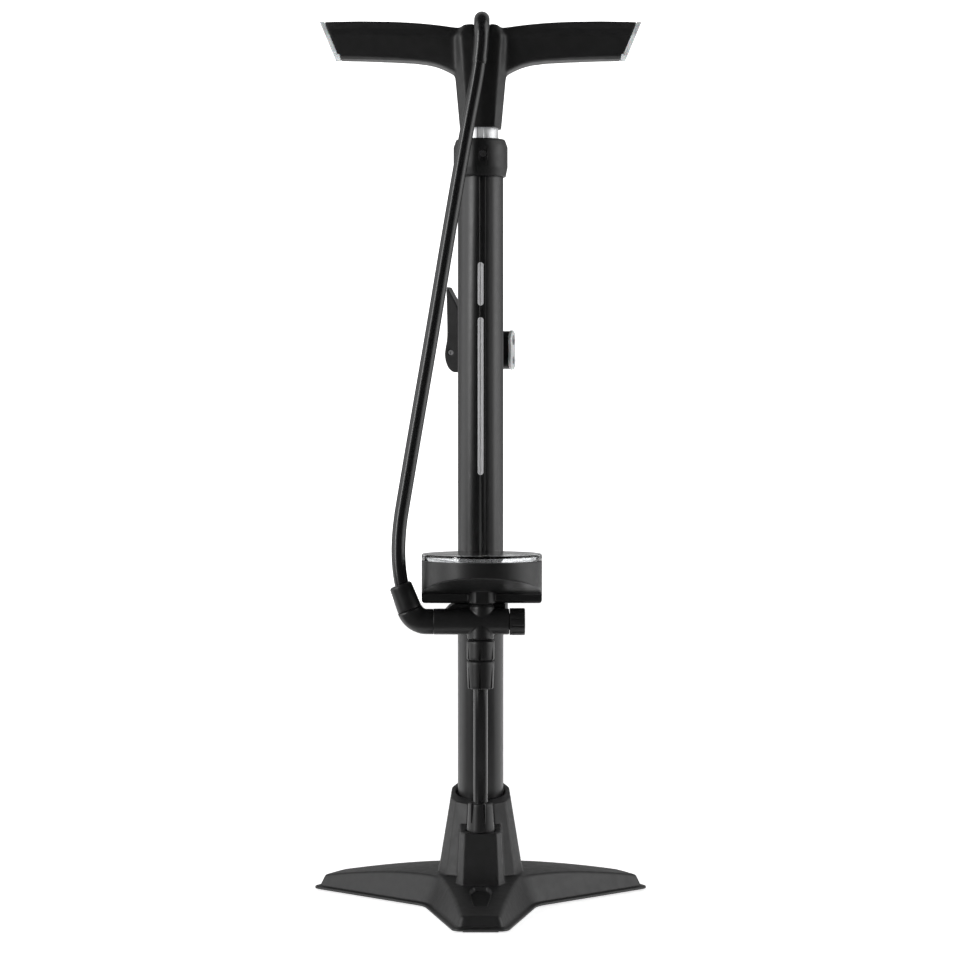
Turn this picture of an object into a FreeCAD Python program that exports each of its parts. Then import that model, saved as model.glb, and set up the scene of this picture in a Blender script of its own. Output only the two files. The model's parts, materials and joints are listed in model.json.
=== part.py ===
"""Floor-standing bicycle air pump: a parametric FreeCAD model of every piece, each written to parts/NODE.step.

Frame: millimetres, +Z up, origin on the floor under the barrel's axis. The gauge is at the front, -Y, and the
handle lies along X. All sizes are cells of the Dimensions spreadsheet, and the pieces are bound to them.
"""

import FreeCAD
import Part
import math
import os
import re
import Sketcher
from FreeCAD import Placement, Rotation, Vector

doc = FreeCAD.newDocument("FloorPump")

# ---------------------------------------------------------------- driving dimensions

DIMENSIONS = [
    # name, millimetres (or degrees, or a count), meaning
    ("barrel_r", 17.5, "outer radius of the barrel"),
    ("barrel_wall", 1.5, "wall of the barrel"),
    ("barrel_z", 34.0, "lower end of the barrel"),
    ("barrel_len", 543.0, "length of the barrel"),
    ("fit_gap", 0.08, "radial gap of a fit that stays put"),
    ("slide_gap", 0.06, "radial gap of a sliding fit"),
    ("run_gap", 0.35, "gap between pieces that pass each other"),
    ("cap_r", 20.8, "outer radius of the barrel's top cap"),
    ("cap_z", 555.0, "lower end of the top cap"),
    ("cap_len", 28.6, "length of the top cap"),
    ("cap_top_r", 18.2, "radius of the cap's top face"),
    ("cap_low_r", 19.3, "radius of the cap's bottom edge"),
    ("cap_top_bevel", 6.0, "height of the cap's top bevel"),
    ("cap_low_bevel", 7.2, "height of the cap's lower bevel"),
    ("cap_roof", 5.4, "thickness of the cap's roof"),
    ("cap_screw_z", 571.5, "height of the cap's screws"),
    ("cap_screw_turn", 5.0, "turn of the cap's front screw from the front"),
    ("tube_r", 13.75, "outer radius of the piston tube"),
    ("tube_wall", 1.4, "wall of the piston tube"),
    ("tube_z", 66.0, "lower end of the piston tube"),
    ("tube_len", 586.0, "length of the piston tube"),
    ("bush_len", 26.0, "length of the guide bush"),
    ("wiper_len", 3.2, "length of the wiper seal"),
    ("piston_z", 52.0, "underside of the piston head"),
    ("piston_len", 24.0, "length of the piston head"),
    ("cup_z", 57.5, "underside of the cup seal"),
    ("cup_len", 6.0, "length of the cup seal"),
    ("ring_r", 1.2, "half thickness of the O-rings"),
    ("hub_z", 592.0, "underside of the handle's hub"),
    ("hub_top", 670.9, "top of the handle's hub"),
    ("hub_low_w", 15.9, "half width of the hub at its foot"),
    ("hub_wide_z", 640.0, "height where the hub is widest"),
    ("hub_wide_w", 20.3, "half width of the hub where it is widest"),
    ("hub_ridge_z", 662.2, "height of the ridge under the hub's top slope"),
    ("arm_half", 123.4, "half length of the handle"),
    ("arm_top", 673.6, "height of the arms' top"),
    ("arm_low", 644.4, "height of the arms' underside at their ends"),
    ("arm_depth", 15.0, "half depth of the arms at the ridge"),
    ("end_rake", 22.8, "rake of the arms' ends from upright"),
    ("end_cap_t", 3.4, "thickness of the end caps"),
    ("cap_toe_x", 107.6, "reach of the end caps' toes towards the middle"),
    ("cap_toe_z", 648.6, "top of the end caps' toes"),
    ("hose_r", 5.3, "outer radius of the hose"),
    ("sleeve_r", 5.95, "outer radius of the hose's sleeve"),
    ("axis_y", -64.0, "the gauge's and the manifold's axis, in front of the barrel"),
    ("gauge_r", 45.0, "outer radius of the gauge"),
    ("gauge_low", 232.2, "underside of the gauge housing's rear half"),
    ("gauge_fold", 239.3, "height where the sloped underside starts"),
    ("gauge_lip", 253.3, "height of the sloped underside at the front rim"),
    ("gauge_rim", 264.8, "top of the gauge housing"),
    ("gauge_top", 269.4, "top of the lens"),
    ("gauge_wall", 2.4, "wall of the gauge housing"),
    ("dial_z", 261.6, "underside of the dial"),
    ("dial_t", 0.9, "thickness of the dial"),
    ("duct_z", 218.7, "height of the manifold's duct"),
    ("duct_r", 9.7, "outer radius of the duct"),
    ("duct_left", 35.2, "reach of the duct to the left"),
    ("duct_right", 21.4, "reach of the duct to the right"),
    ("stem_r", 9.1, "radius of the stem under the gauge"),
    ("knob_r", 10.05, "radius of the selector knob"),
    ("knob_len", 11.4, "length of the selector knob"),
    ("clamp_r", 21.0, "outer radius of the clamp round the barrel"),
    ("clamp_z", 206.5, "underside of the clamp"),
    ("clamp_len", 55.0, "length of the clamp"),
    ("ear_z", 236.0, "underside of the clamp's ears"),
    ("ear_len", 24.0, "height of the clamp's ears"),
    ("ear_x", 25.6, "the ears' screws, to each side"),
    ("union_z", 189.5, "lower end of the union's upper nut"),
    ("union_len", 16.1, "length of the upper nut"),
    ("nut_r", 10.4, "large radius of the hose nuts"),
    ("nut_tip_r", 9.5, "small radius of the hose nuts"),
    ("nut_len", 20.8, "length of the hose nuts"),
    ("port_y", -52.0, "the base's hose port, in front of the barrel"),
    ("port_nut_z", 59.8, "lower end of the base's hose nut"),
    ("elbow_x", 49.4, "corner of the elbow, to the left"),
    ("elbow_turn", 69.0, "turn of the elbow"),
    ("elbow_r", 9.5, "outer radius of the elbow"),
    ("elbow_run", 9.4, "from the elbow's corner to each end of its bend"),
    ("collar_len", 20.0, "length of the elbow's collar"),
    ("collar_r", 9.2, "radius of the collar at the elbow"),
    ("collar_tip_r", 8.4, "radius of the collar at its mouth"),
    ("collar_bore", 14.0, "depth of the collar's bore"),
    ("front_reach", 141.5, "reach of the base's front leg"),
    ("front_end_w", 20.0, "half width of the front leg at its end"),
    ("front_flare", 0.22, "growth of the front leg's half width towards the hub"),
    ("side_reach", 138.0, "reach of the side legs"),
    ("side_end_w", 21.5, "half width of a side leg at its end"),
    ("side_flare", 0.265, "growth of a side leg's half width towards the hub"),
    ("side_turn", 28.0, "turn of the side legs, back from straight sideways"),
    ("end_round", 8.0, "radius of the legs' end corners"),
    ("crotch_round", 27.0, "radius between two legs"),
    ("lip_w", 3.0, "width of the lip round the base"),
    ("lip_t", 2.2, "thickness of the lip"),
    ("shell_t", 3.0, "wall of the base"),
    ("pad_t", 1.0, "height of the rubber feet below the lip"),
    ("chuck_y", 33.0, "the chuck's middle, behind the barrel"),
    ("chuck_z", 423.0, "height of the chuck's middle"),
    ("chuck_turn", -14.0, "turn of the chuck about the vertical"),
    ("pivot_x", -22.6, "the lever's pin, along the chuck"),
    ("chuck_end", 26.0, "the chuck's valve end, along the chuck"),
    ("chuck_half_h", 15.4, "half height of the chuck"),
    ("chuck_half_w", 8.0, "half width of the chuck"),
    ("port_dz", 7.8, "each valve port from the chuck's middle"),
    ("wide_valve_r", 3.95, "radius of the wide valve port"),
    ("narrow_valve_r", 3.1, "radius of the narrow valve port"),
    ("lever_len", 51.5, "length of the lever above its pin"),
    ("pin_r", 1.9, "radius of the lever's pin"),
]

sheet = doc.addObject("Spreadsheet::Sheet", "Dimensions")
for row, (alias, value, meaning) in enumerate(DIMENSIONS, start=1):
    sheet.set(f"A{row}", alias)
    sheet.set(f"B{row}", str(value))
    sheet.set(f"C{row}", meaning)
    sheet.setAlias(f"B{row}", alias)
doc.recompute()

NAME = re.compile(r"[a-z][a-z_]*")
made = []


def size(expression):
    """The value of an expression of cell names, in millimetres."""
    return float(sheet.evalExpression(str(expression)))


def bound(expression):
    """The same expression with its cell names pointing at the spreadsheet."""
    return NAME.sub(lambda name: "Dimensions." + name.group(), str(expression))


def place(piece, at, rotation=None):
    """Puts a piece at three expressions, turned by a fixed rotation."""
    piece.Placement = Placement(Vector(*(size(value) for value in at)), rotation or Rotation())
    for letter, value in zip("xyz", at):
        piece.setExpression("Placement.Base." + letter, bound(value))
    return piece


def keep(piece, label):
    """Marks a piece as a sub-part, which is written to parts/label.step."""
    piece.Label = label
    made.append(piece)
    return piece


# ---------------------------------------------------------------- primitives bound to the sheet

ALONG_X = Rotation(Vector(0, 1, 0), 90)
ALONG_Y = Rotation(Vector(1, 0, 0), -90)


def cylinder(name, radius, height, at, rotation=None):
    piece = doc.addObject("Part::Cylinder", name)
    piece.setExpression("Radius", bound(radius))
    piece.setExpression("Height", bound(height))
    return place(piece, at, rotation)


def box(name, length, width, height, at, rotation=None):
    piece = doc.addObject("Part::Box", name)
    piece.setExpression("Length", bound(length))
    piece.setExpression("Width", bound(width))
    piece.setExpression("Height", bound(height))
    return place(piece, at, rotation)


def ring(name, radius, thickness, at, rotation=None):
    """An O-ring: radius to the middle of its section."""
    piece = doc.addObject("Part::Torus", name)
    piece.setExpression("Radius1", bound(radius))
    piece.setExpression("Radius2", bound(thickness))
    return place(piece, at, rotation)


def fuse(name, *pieces):
    piece = doc.addObject("Part::MultiFuse", name)
    piece.Shapes = list(pieces)
    return piece


def cut(name, base, *tools):
    piece = doc.addObject("Part::Cut", name)
    piece.Base = base
    piece.Tool = tools[0] if len(tools) == 1 else fuse(name + "_tools", *tools)
    return piece


def shape_piece(name, shape):
    piece = doc.addObject("Part::Feature", name)
    piece.Shape = shape
    return piece


# ---------------------------------------------------------------- sketched bodies

def plane_of(body, role):
    return next(item for item in body.Origin.OriginFeatures if item.Role == role)


def pin_point(sketch, item, corner, across, up):
    """Holds one point of a sketch at two expressions, counted from the sketch's origin."""
    for kind, expression, axis in (("DistanceX", across, -2), ("DistanceY", up, -1)):
        value = size(expression)
        if abs(value) < 1e-9:
            sketch.addConstraint(Sketcher.Constraint("PointOnObject", item, corner, axis))
        elif value > 0:
            number = sketch.addConstraint(Sketcher.Constraint(kind, -1, 1, item, corner, value))
            sketch.setExpression(f"Constraints[{number}]", bound(expression))
        else:
            number = sketch.addConstraint(Sketcher.Constraint(kind, item, corner, -1, 1, -value))
            sketch.setExpression(f"Constraints[{number}]", bound(f"-({expression})"))


def draw_outline(sketch, corners):
    """A closed outline of straight edges through corners given as pairs of expressions."""
    points = [Vector(size(across), size(up), 0) for across, up in corners]
    count = len(points)
    for number in range(count):
        sketch.addGeometry(Part.LineSegment(points[number], points[(number + 1) % count]), False)
    for number in range(count):
        sketch.addConstraint(Sketcher.Constraint("Coincident", number, 2, (number + 1) % count, 1))
    for number, (across, up) in enumerate(corners):
        pin_point(sketch, number, 1, across, up)


def sketched_body(name, role, corners):
    body = doc.addObject("PartDesign::Body", name)
    sketch = body.newObject("Sketcher::SketchObject", name + "_outline")
    sketch.AttachmentSupport = (plane_of(body, role), [""])
    sketch.MapMode = "FlatFace"
    draw_outline(sketch, corners)
    return body, sketch


def turned(name, corners, at=(0, 0, 0), rotation=None):
    """A turned piece: corners are (radius, height) pairs, turned about the local Z axis."""
    body, sketch = sketched_body(name, "XZ_Plane", corners)
    turn = body.newObject("PartDesign::Revolution", name + "_turn")
    turn.Profile = sketch
    turn.ReferenceAxis = (sketch, ["V_Axis"])
    turn.Angle = 360
    sketch.Visibility = False
    return place(body, at, rotation)


def plate(name, corners, thickness, at=(0, 0, 0), rotation=None, role="XY_Plane", both_ways=False):
    """A flat piece: an outline padded by thickness, or by half of it each way."""
    body, sketch = sketched_body(name, role, corners)
    pad = body.newObject("PartDesign::Pad", name + "_pad")
    pad.Profile = sketch
    pad.setExpression("Length", bound(thickness))
    if both_ways:
        pad.SideType = "Symmetric"
    sketch.Visibility = False
    return place(body, at, rotation)


def axial(radius, length, at, axis, start=0.0):
    """A cylinder shape whose foot is start along axis from at."""
    axis = Vector(*axis).normalize()
    return Part.makeCylinder(size(radius), size(length), Vector(*at) + axis * size(start), axis)


def turned_copies(shapes, count, start=0.0):
    """The shapes turned about the Z axis, count times round."""
    copies = []
    for number in range(count):
        for shape in shapes:
            copy = shape.copy()
            copy.rotate(Vector(), Vector(0, 0, 1), start + 360.0 * number / count)
            copies.append(copy)
    return copies


def drill(name, piece, shapes):
    """Cuts hole shapes, which are read from the sheet, out of a piece."""
    return cut(name, piece, shape_piece(name + "_holes", Part.makeCompound(shapes)))


def routed(points, radii):
    """A wire of straight runs and tangent arcs through points, one radius for each inner corner."""
    edges = []
    last = points[0]
    for before, corner, after, radius in zip(points, points[1:], points[2:], radii):
        into = (corner - before).normalize()
        out = (after - corner).normalize()
        half = into.getAngle(out) / 2
        reach = radius * math.tan(half)
        start = corner - into * reach
        end = corner + out * reach
        inward = (out - into).normalize()
        middle = corner + inward * (radius / math.cos(half) - radius)
        edges.append(Part.makeLine(last, start))
        edges.append(Part.Arc(start, middle, end).toShape())
        last = end
    edges.append(Part.makeLine(last, points[-1]))
    return Part.Wire(edges)


def tube_along(wire, radius):
    """A solid round bar along a wire."""
    start = wire.Edges[0]
    along = start.tangentAt(start.FirstParameter)
    section = Part.Wire(Part.makeCircle(radius, wire.Vertexes[0].Point, along))
    return wire.makePipeShell([section], True, False)


# ---------------------------------------------------------------- barrel and its lower plug

SCREW_TURNS = 3
cap_holes = turned_copies([axial(1.55, 8, (0, 0, size("cap_screw_z")), (0, -1, 0), 13.9)],
                          SCREW_TURNS, size("cap_screw_turn"))
cap_sinks = turned_copies([axial(2.95, 4, (0, 0, size("cap_screw_z")), (0, -1, 0), 19.3)],
                          SCREW_TURNS, size("cap_screw_turn"))

barrel_blank = turned("barrel_blank", [
    ("barrel_r-barrel_wall", 0), ("barrel_r", 0),
    ("barrel_r", "barrel_len"), ("barrel_r-barrel_wall", "barrel_len"),
], at=(0, 0, "barrel_z"))
side_holes = [axial(1.55, 60, (0, 0, 43), (1, 0, 0), -30)]
keep(drill("barrel", barrel_blank, cap_holes + side_holes), "barrel_tube")

# the plug: a flange under the barrel, a spigot inside it, and the check valve's chamber in the middle
plug_blank = turned("plug_blank", [
    (1.8, 20), (1.8, 15.5), (5, 15.5), (5, 0), ("barrel_r", 0), ("barrel_r", 4),
    ("barrel_r-barrel_wall-fit_gap", 4), ("barrel_r-barrel_wall-fit_gap", 15.7),
    ("barrel_r-barrel_wall-2.6", 15.7), ("barrel_r-barrel_wall-2.6", 18.3),
    ("barrel_r-barrel_wall-fit_gap", 18.3), ("barrel_r-barrel_wall-fit_gap", 20),
], at=(0, 0, "barrel_z-4"))
side_bores = [axial(1.5, 10, (0, 0, 43), (side, 0, 0), 6.5) for side in (-1, 1)]
keep(drill("plug", plug_blank, side_bores), "bottom_plug")
keep(ring("plug_seal", "barrel_r-barrel_wall-fit_gap-ring_r", "ring_r", (0, 0, "barrel_z+13")), "plug_ring")

keep(turned("poppet", [
    (0, 0), (1.3, 0), (1.3, 7.6), (3.6, 7.6), (3.6, 10), (0, 10),
], at=(0, 0, 35.3)), "valve_poppet")


def coil(name, radius, wire_r, height, turns, at):
    """A coil spring with its ends laid flat against its seats."""
    helix = Part.makeHelix((height - 2 * wire_r) / turns, height - 2 * wire_r, radius)
    section = Part.Wire(Part.makeCircle(wire_r, Vector(radius, 0, 0), Vector(0, 1, 0)))
    piece = shape_piece(name, helix.makePipeShell([section], True, True))
    return place(piece, (at[0], at[1], f"{at[2]}+{wire_r}"))


keep(coil("poppet_spring", 2.4, 0.35, 12.7, 5, (0, 0, 30.05)), "valve_spring")

# ---------------------------------------------------------------- guide bush, wiper and top cap

bush_blank = turned("bush_blank", [
    ("tube_r+slide_gap", 0), ("barrel_r-barrel_wall-fit_gap", 0),
    ("barrel_r-barrel_wall-fit_gap", "bush_len"), ("barrel_r-0.1", "bush_len"),
    ("barrel_r-0.1", "bush_len+1.15"), ("tube_r+slide_gap", "bush_len+1.15"),
], at=(0, 0, "barrel_z+barrel_len-bush_len"))
keep(drill("bush", bush_blank, cap_holes), "guide_bush")

ROOF = "cap_len-cap_roof"
keep(turned("wiper", [
    ("tube_r+slide_gap", 0), (16, 0), (16, "wiper_len"), (14.6, "wiper_len"), ("tube_r+slide_gap", "wiper_len-1.4"),
], at=(0, 0, "cap_z+cap_len-cap_roof+0.02")), "rod_wiper")

cap_blank = turned("cap_blank", [
    ("barrel_r+fit_gap", 0), ("cap_low_r", 0), ("cap_r", "cap_low_bevel"), ("cap_r", "cap_len-cap_top_bevel"),
    ("cap_top_r+0.7", "cap_len-0.6"), ("cap_top_r", "cap_len"), ("tube_r+run_gap", "cap_len"),
    ("tube_r+run_gap", ROOF + "+wiper_len+0.1"), (16.08, ROOF + "+wiper_len+0.1"), (16.08, ROOF),
    ("barrel_r+fit_gap", ROOF),
], at=(0, 0, "cap_z"))
keep(drill("cap", cap_blank, cap_holes + cap_sinks), "top_cap")


def socket_screw(name, head_r, head_len, shank_r, shank_len, socket_r, at, rotation=None):
    """A socket screw: its head's outer face is at the local origin, and its shank goes down -Z."""
    blank = turned(name + "_blank", [
        (0, f"-{head_len}-{shank_len}"), (shank_r, f"-{head_len}-{shank_len}"), (shank_r, f"-{head_len}"),
        (head_r, f"-{head_len}"), (head_r, -0.4), (f"{head_r}-0.4", 0), (0, 0),
    ])
    points = [(socket_r * math.cos(math.pi * n / 3), socket_r * math.sin(math.pi * n / 3)) for n in range(6)]
    socket = plate(name + "_socket", points, f"{head_len}*0.7", at=(0, 0, f"-{head_len}*0.65"))
    return place(cut(name, blank, socket), at, rotation)


def ring_of_screws(name, first, count, start, radius, height):
    """Copies of one radial screw round the Z axis."""
    doc.recompute()
    face_out = Rotation(Vector(1, 0, 0), 90)
    shapes = []
    for number in range(count):
        turn = Rotation(Vector(0, 0, 1), start + 360.0 * number / count)
        shape = first.Shape.copy()
        shape.Placement = Placement(turn.multVec(Vector(0, -radius, height)), turn.multiply(face_out))
        shapes.append(shape)
    return shape_piece(name, Part.makeCompound(shapes))


cap_screw = socket_screw("cap_screw", 2.8, 1.0, 1.45, 5.0, 1.5, (0, 0, 0))
keep(ring_of_screws("cap_screw_ring", cap_screw, SCREW_TURNS, size("cap_screw_turn"), 20.45,
                    size("cap_screw_z")), "cap_screws")

# ---------------------------------------------------------------- piston and its tube

rod_blank = turned("rod", [
    ("tube_r-tube_wall", 0), ("tube_r", 0), ("tube_r", "tube_len"), ("tube_r-tube_wall", "tube_len"),
], at=(0, 0, "tube_z"))
pin_holes = [axial(1.55, 40, (0, 0, 74), (1, 0, 0), -20), axial(2.05, 40, (0, 0, 604), (0, 1, 0), -20)]
keep(drill("rod_drilled", rod_blank, pin_holes), "piston_tube")

head_blank = turned("head_blank", [
    (0, 0), (14.6, 0), (15.4, 0.8), (15.4, "cup_z-piston_z"), (12.4, "cup_z-piston_z"),
    (12.4, "cup_z-piston_z+cup_len+0.3"), (15.4, "cup_z-piston_z+cup_len+0.3"), (15.4, 14),
    ("tube_r-tube_wall-fit_gap", 14), ("tube_r-tube_wall-fit_gap", "piston_len+4"), (6, "piston_len+4"),
    (6, 12), (0, 12),
], at=(0, 0, "piston_z"))
keep(drill("head_drilled", head_blank, [axial(1.55, 40, (0, 0, 74), (1, 0, 0), -20)]), "piston_head")
keep(turned("cup", [
    (12.5, 0.1), (15.2, 0.1), ("barrel_r-barrel_wall-0.05", 1.6), ("barrel_r-barrel_wall-0.05", 2.6),
    (14.2, "cup_len"), (12.5, "cup_len"),
], at=(0, 0, "cup_z")), "cup_seal")
keep(cylinder("rivet", 1.5, "2*tube_r-0.4", ("0.2-tube_r", 0, 74), ALONG_X), "piston_pin")
keep(turned("bumper", [
    ("tube_r+0.05", 0), (15.3, 0), (15.3, 6.5), (14.9, 7.5), ("tube_r+0.05", 7.5),
], at=(0, 0, "tube_z")), "top_bumper")

# ---------------------------------------------------------------- base


def arc_through(first, middle, last):
    return Part.Arc(first, middle, last).toShape()


def crossing(start, along, other, other_along):
    """Where two lines in one level plane meet."""
    gap = other - start
    turn = along.x * other_along.y - along.y * other_along.x
    return start + along * ((gap.x * other_along.y - gap.y * other_along.x) / turn)


def foot_legs():
    """Each leg's direction, reach, half width at its end and flare, going round anticlockwise."""
    front = (270.0, size("front_reach"), size("front_end_w"), size("front_flare"))
    side = (size("side_reach"), size("side_end_w"), size("side_flare"))
    return [front, (size("side_turn"), *side), (180.0 - size("side_turn"), *side)]


def foot_corners():
    """The base's outline: two corners at each leg's end, then the one where it meets the next leg."""
    sides = []
    for angle, reach, end_w, flare in foot_legs():
        out = Vector(math.cos(math.radians(angle)), math.sin(math.radians(angle)), 0)
        left = Vector(-out.y, out.x, 0)
        sides.append((out * reach - left * end_w, -out - left * flare, out * reach + left * end_w, -out + left * flare))
    corners = []
    for this, after in zip(sides, sides[1:] + sides[:1]):
        corners += [this[0], this[2], crossing(this[2], this[3], after[0], after[1])]
    return corners


def foot_wire(height, inset):
    """The outline at a height with rounded corners, its edges moved in by inset."""
    corners = foot_corners()
    radii = [size("end_round"), size("end_round"), size("crotch_round")] * 3
    arcs = []
    for number, (corner, radius) in enumerate(zip(corners, radii)):
        into = (corner - corners[number - 1]).normalize()
        out = (corners[(number + 1) % len(corners)] - corner).normalize()
        left_in, left_out = Vector(-into.y, into.x, 0), Vector(-out.y, out.x, 0)
        moved = corner + (left_in + left_out) * (inset / (1 + left_in * left_out)) + Vector(0, 0, height)
        outer_corner = into.x * out.y - into.y * out.x > 0
        radius = max(radius - inset, 0.8) if outer_corner else radius + inset
        half = into.getAngle(out) / 2
        reach = radius * math.tan(half)
        inward = (out - into).normalize()
        middle = moved + inward * (radius / math.cos(half) - radius)
        arcs.append((moved - into * reach, middle, moved + out * reach))
    edges = []
    for this, after in zip(arcs, arcs[1:] + arcs[:1]):
        edges += [arc_through(*this), Part.makeLine(this[2], after[0])]
    return Part.Wire(edges)


def crest_solid(drop):
    """A solid of revolution under the crest line of the legs, lowered by drop."""
    crest = [(0, 24.4), (34, 23.8), (58, 22.4), (80, 19.9), (104, 16.4), (128, 12.3), (150, 7.8)]
    outer_r, outer_z = crest[-1]
    curve = Part.BSplineCurve()
    curve.interpolate([Vector(radius, 0, height - drop) for radius, height in crest])
    side = [Part.makeLine(Vector(outer_r, 0, outer_z - drop), Vector(outer_r, 0, -20)),
            Part.makeLine(Vector(outer_r, 0, -20), Vector(0, 0, -20)),
            Part.makeLine(Vector(0, 0, -20), Vector(0, 0, crest[0][1] - drop))]
    return Part.Face(Part.Wire([curve.toShape()] + side)).revolve(Vector(), Vector(0, 0, 1), 360)


DRAFT_RISE, DRAFT_RUN = 30.0, 12.5


def drafted_legs(drop, inset):
    """The three legs with drafted sides under the crest line."""
    low = size("pad_t")
    inset += size("lip_w")
    walls = Part.makeLoft([foot_wire(low, inset), foot_wire(low + DRAFT_RISE, inset + DRAFT_RUN)], True, True)
    return walls.common(crest_solid(drop))


def hub_solid(grow, low, top):
    """The faceted socket tower, tapered upwards, with a top that slants down to the front."""
    def section(height, scale_w):
        half = scale_w + grow
        corners = [(half, 0.45 * half), (0.82 * half, 0.9 * half), (0.42 * half, 1.14 * half),
                   (-0.42 * half, 1.14 * half), (-0.82 * half, 0.9 * half), (-half, 0.45 * half),
                   (-half, -0.45 * half), (-0.82 * half, -0.9 * half), (-0.42 * half, -1.14 * half),
                   (0.42 * half, -1.14 * half), (0.82 * half, -0.9 * half), (half, -0.45 * half)]
        return Part.makePolygon([Vector(x, y, height) for x, y in corners + corners[:1]])
    tower = Part.makeLoft([section(18, 33.0), section(96, 20.3)], True, True)
    roof = Part.makeBox(160, 160, 60, Vector(-80, -80, 0))
    roof.rotate(Vector(), Vector(1, 0, 0), 13)
    roof.translate(Vector(0, 0, top))
    return tower.cut(roof).common(Part.makeBox(160, 160, 200, Vector(-80, -80, low)))


def boss_solid():
    """The hose port's boss on the front of the tower, with bevelled corners and a slanted top."""
    def section(height, grow):
        front = size("port_y") - 10.6 - grow
        corners = [(14.6 + grow, -18), (14.6 + grow, front + 7.5), (11.2 + 0.8 * grow, front),
                   (-11.2 - 0.8 * grow, front), (-14.6 - grow, front + 7.5), (-14.6 - grow, -18)]
        return Part.makePolygon([Vector(x, y, height) for x, y in corners + corners[:1]])
    block = Part.makeLoft([section(12, 3.6), section(74, 0.2)], True, True)
    roof = Part.makeBox(80, 120, 60, Vector(-40, -60, 0))
    roof.rotate(Vector(), Vector(1, 0, 0), 2.5)
    roof.translate(Vector(0, size("port_y"), 61.0))
    return block.cut(roof)


def base_shape():
    low = size("pad_t")
    lip = Part.Face(foot_wire(low, 0)).extrude(Vector(0, 0, size("lip_t")))
    lip = lip.makeFillet(0.9, [edge for edge in lip.Edges
                               if all(abs(v.Z - low - size("lip_t")) < 0.01 for v in edge.Vertexes)])
    legs = drafted_legs(0, 0)
    crest = [edge for edge in legs.Edges if len(edge.Vertexes) == 2
             and all(v.Z > 6.5 for v in edge.Vertexes)
             and abs(edge.valueAt(edge.FirstParameter).z - low - DRAFT_RISE) > 0.5]
    legs = legs.makeFillet(3.0, crest)
    solid = lip.fuse([legs, hub_solid(0, 16, 83.4), boss_solid()])
    under = drafted_legs(size("shell_t"), size("shell_t"))
    core = Part.makeCylinder(23, 60, Vector(0, 0, 0)).fuse(Part.makeBox(20, 64, 60, Vector(-10, -62, 0)))
    ribs = []
    for angle, *_ in foot_legs():
        rib = Part.makeBox(120, 3, 40, Vector(8, -1.5, 0))
        rib.rotate(Vector(), Vector(0, 0, 1), angle)
        ribs.append(rib)
    behind_dimple = Part.makeBox(21, 62, 40, Vector(-10.5, -124, 8))
    under = under.cut(core.fuse(ribs + [behind_dimple]))
    hollow_tower = hub_solid(-3.4, 24, 74).cut(Part.makeCylinder(23, 80).fuse(Part.makeBox(40, 60, 90,
                                                                                         Vector(-20, -60, 0))))
    solid = solid.cut(under).cut(hollow_tower)
    core = core.common(Part.makeBox(200, 200, 24, Vector(-100, -100, 8)))
    solid = solid.fuse([core, Part.makeCylinder(21, 30, Vector(0, 0, low))])
    return solid.removeSplitter()


def base_holes():
    """The barrel's socket, the air passage to the port, screw holes and the dimple of the front leg."""
    port = size("port_y")
    socket_r = size("barrel_r+fit_gap")
    holes = [Part.makeCylinder(socket_r, 80, Vector(0, 0, 30)),
             Part.makeCone(socket_r, socket_r + 3.4, 7, Vector(0, 0, 79.5)),
             Part.makeCylinder(1.7, 12, Vector(0, 0, 19)),
             Part.makeCylinder(2.2, abs(port) + 2.2, Vector(0, 2.2, 21), Vector(0, -1, 0)),
             Part.makeCylinder(2.2, 41, Vector(0, port, 20)),
             Part.makeCylinder(5.6, 26, Vector(0, port, 45)),
             Part.makeCylinder(10.8, 20, Vector(0, port, 59.5)),
             axial(1.55, 80, (0, 0, 43), (1, 0, 0), -40),
             axial(3.2, 10, (0, 0, 43), (1, 0, 0), 26.6),
             axial(3.2, 10, (0, 0, 43), (-1, 0, 0), 26.6)]
    dimple = Part.makeLoft([Part.makePolygon([Vector(x, y, z) for x, y in outline + outline[:1]])
                            for z, outline in
                            ((26, [(-5.5, -66), (5.5, -66), (9.4, -76), (8.4, -94), (6.0, -120), (-6.0, -120),
                                   (-8.4, -94), (-9.4, -76)]),
                             (10, [(-4.0, -74), (4.0, -74), (6.6, -81), (6.0, -94), (4.2, -111), (-4.2, -111),
                                   (-6.0, -94), (-6.6, -81)]))], True, True)
    return holes, dimple.cut(crest_solid(3.2))


holes, dimple = base_holes()
base_blank = shape_piece("base_blank", base_shape())
base_cut = drill("base_drilled", base_blank, holes + [dimple])
keep(base_cut, "base_foot")


def pads_shape():
    """A rubber pad under the end of each leg and a round one under the middle."""
    pads = [Part.makeCylinder(20, size("pad_t"))]
    for angle, reach, *_ in foot_legs():
        pad = Part.makeBox(18, 26, size("pad_t"), Vector(reach - 22, -13, 0))
        pad.rotate(Vector(), Vector(0, 0, 1), angle)
        pads.append(pad)
    return Part.makeCompound(pads)


keep(shape_piece("pad_set", pads_shape()), "foot_pads")

side_screw = socket_screw("side_screw", 3.0, 1.6, 1.45, 18.0, 1.4, (0, 0, 0))
doc.recompute()
side_shapes = []
for side in (-1, 1):
    shape = side_screw.Shape.copy()
    shape.Placement = Placement(Vector(side * 28.3, 0, 43), Rotation(Vector(0, 1, 0), side * 90))
    side_shapes.append(shape)
keep(shape_piece("side_screw_pair", Part.makeCompound(side_shapes)), "base_screws")

# ---------------------------------------------------------------- feed line: base nut, riser and union


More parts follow.
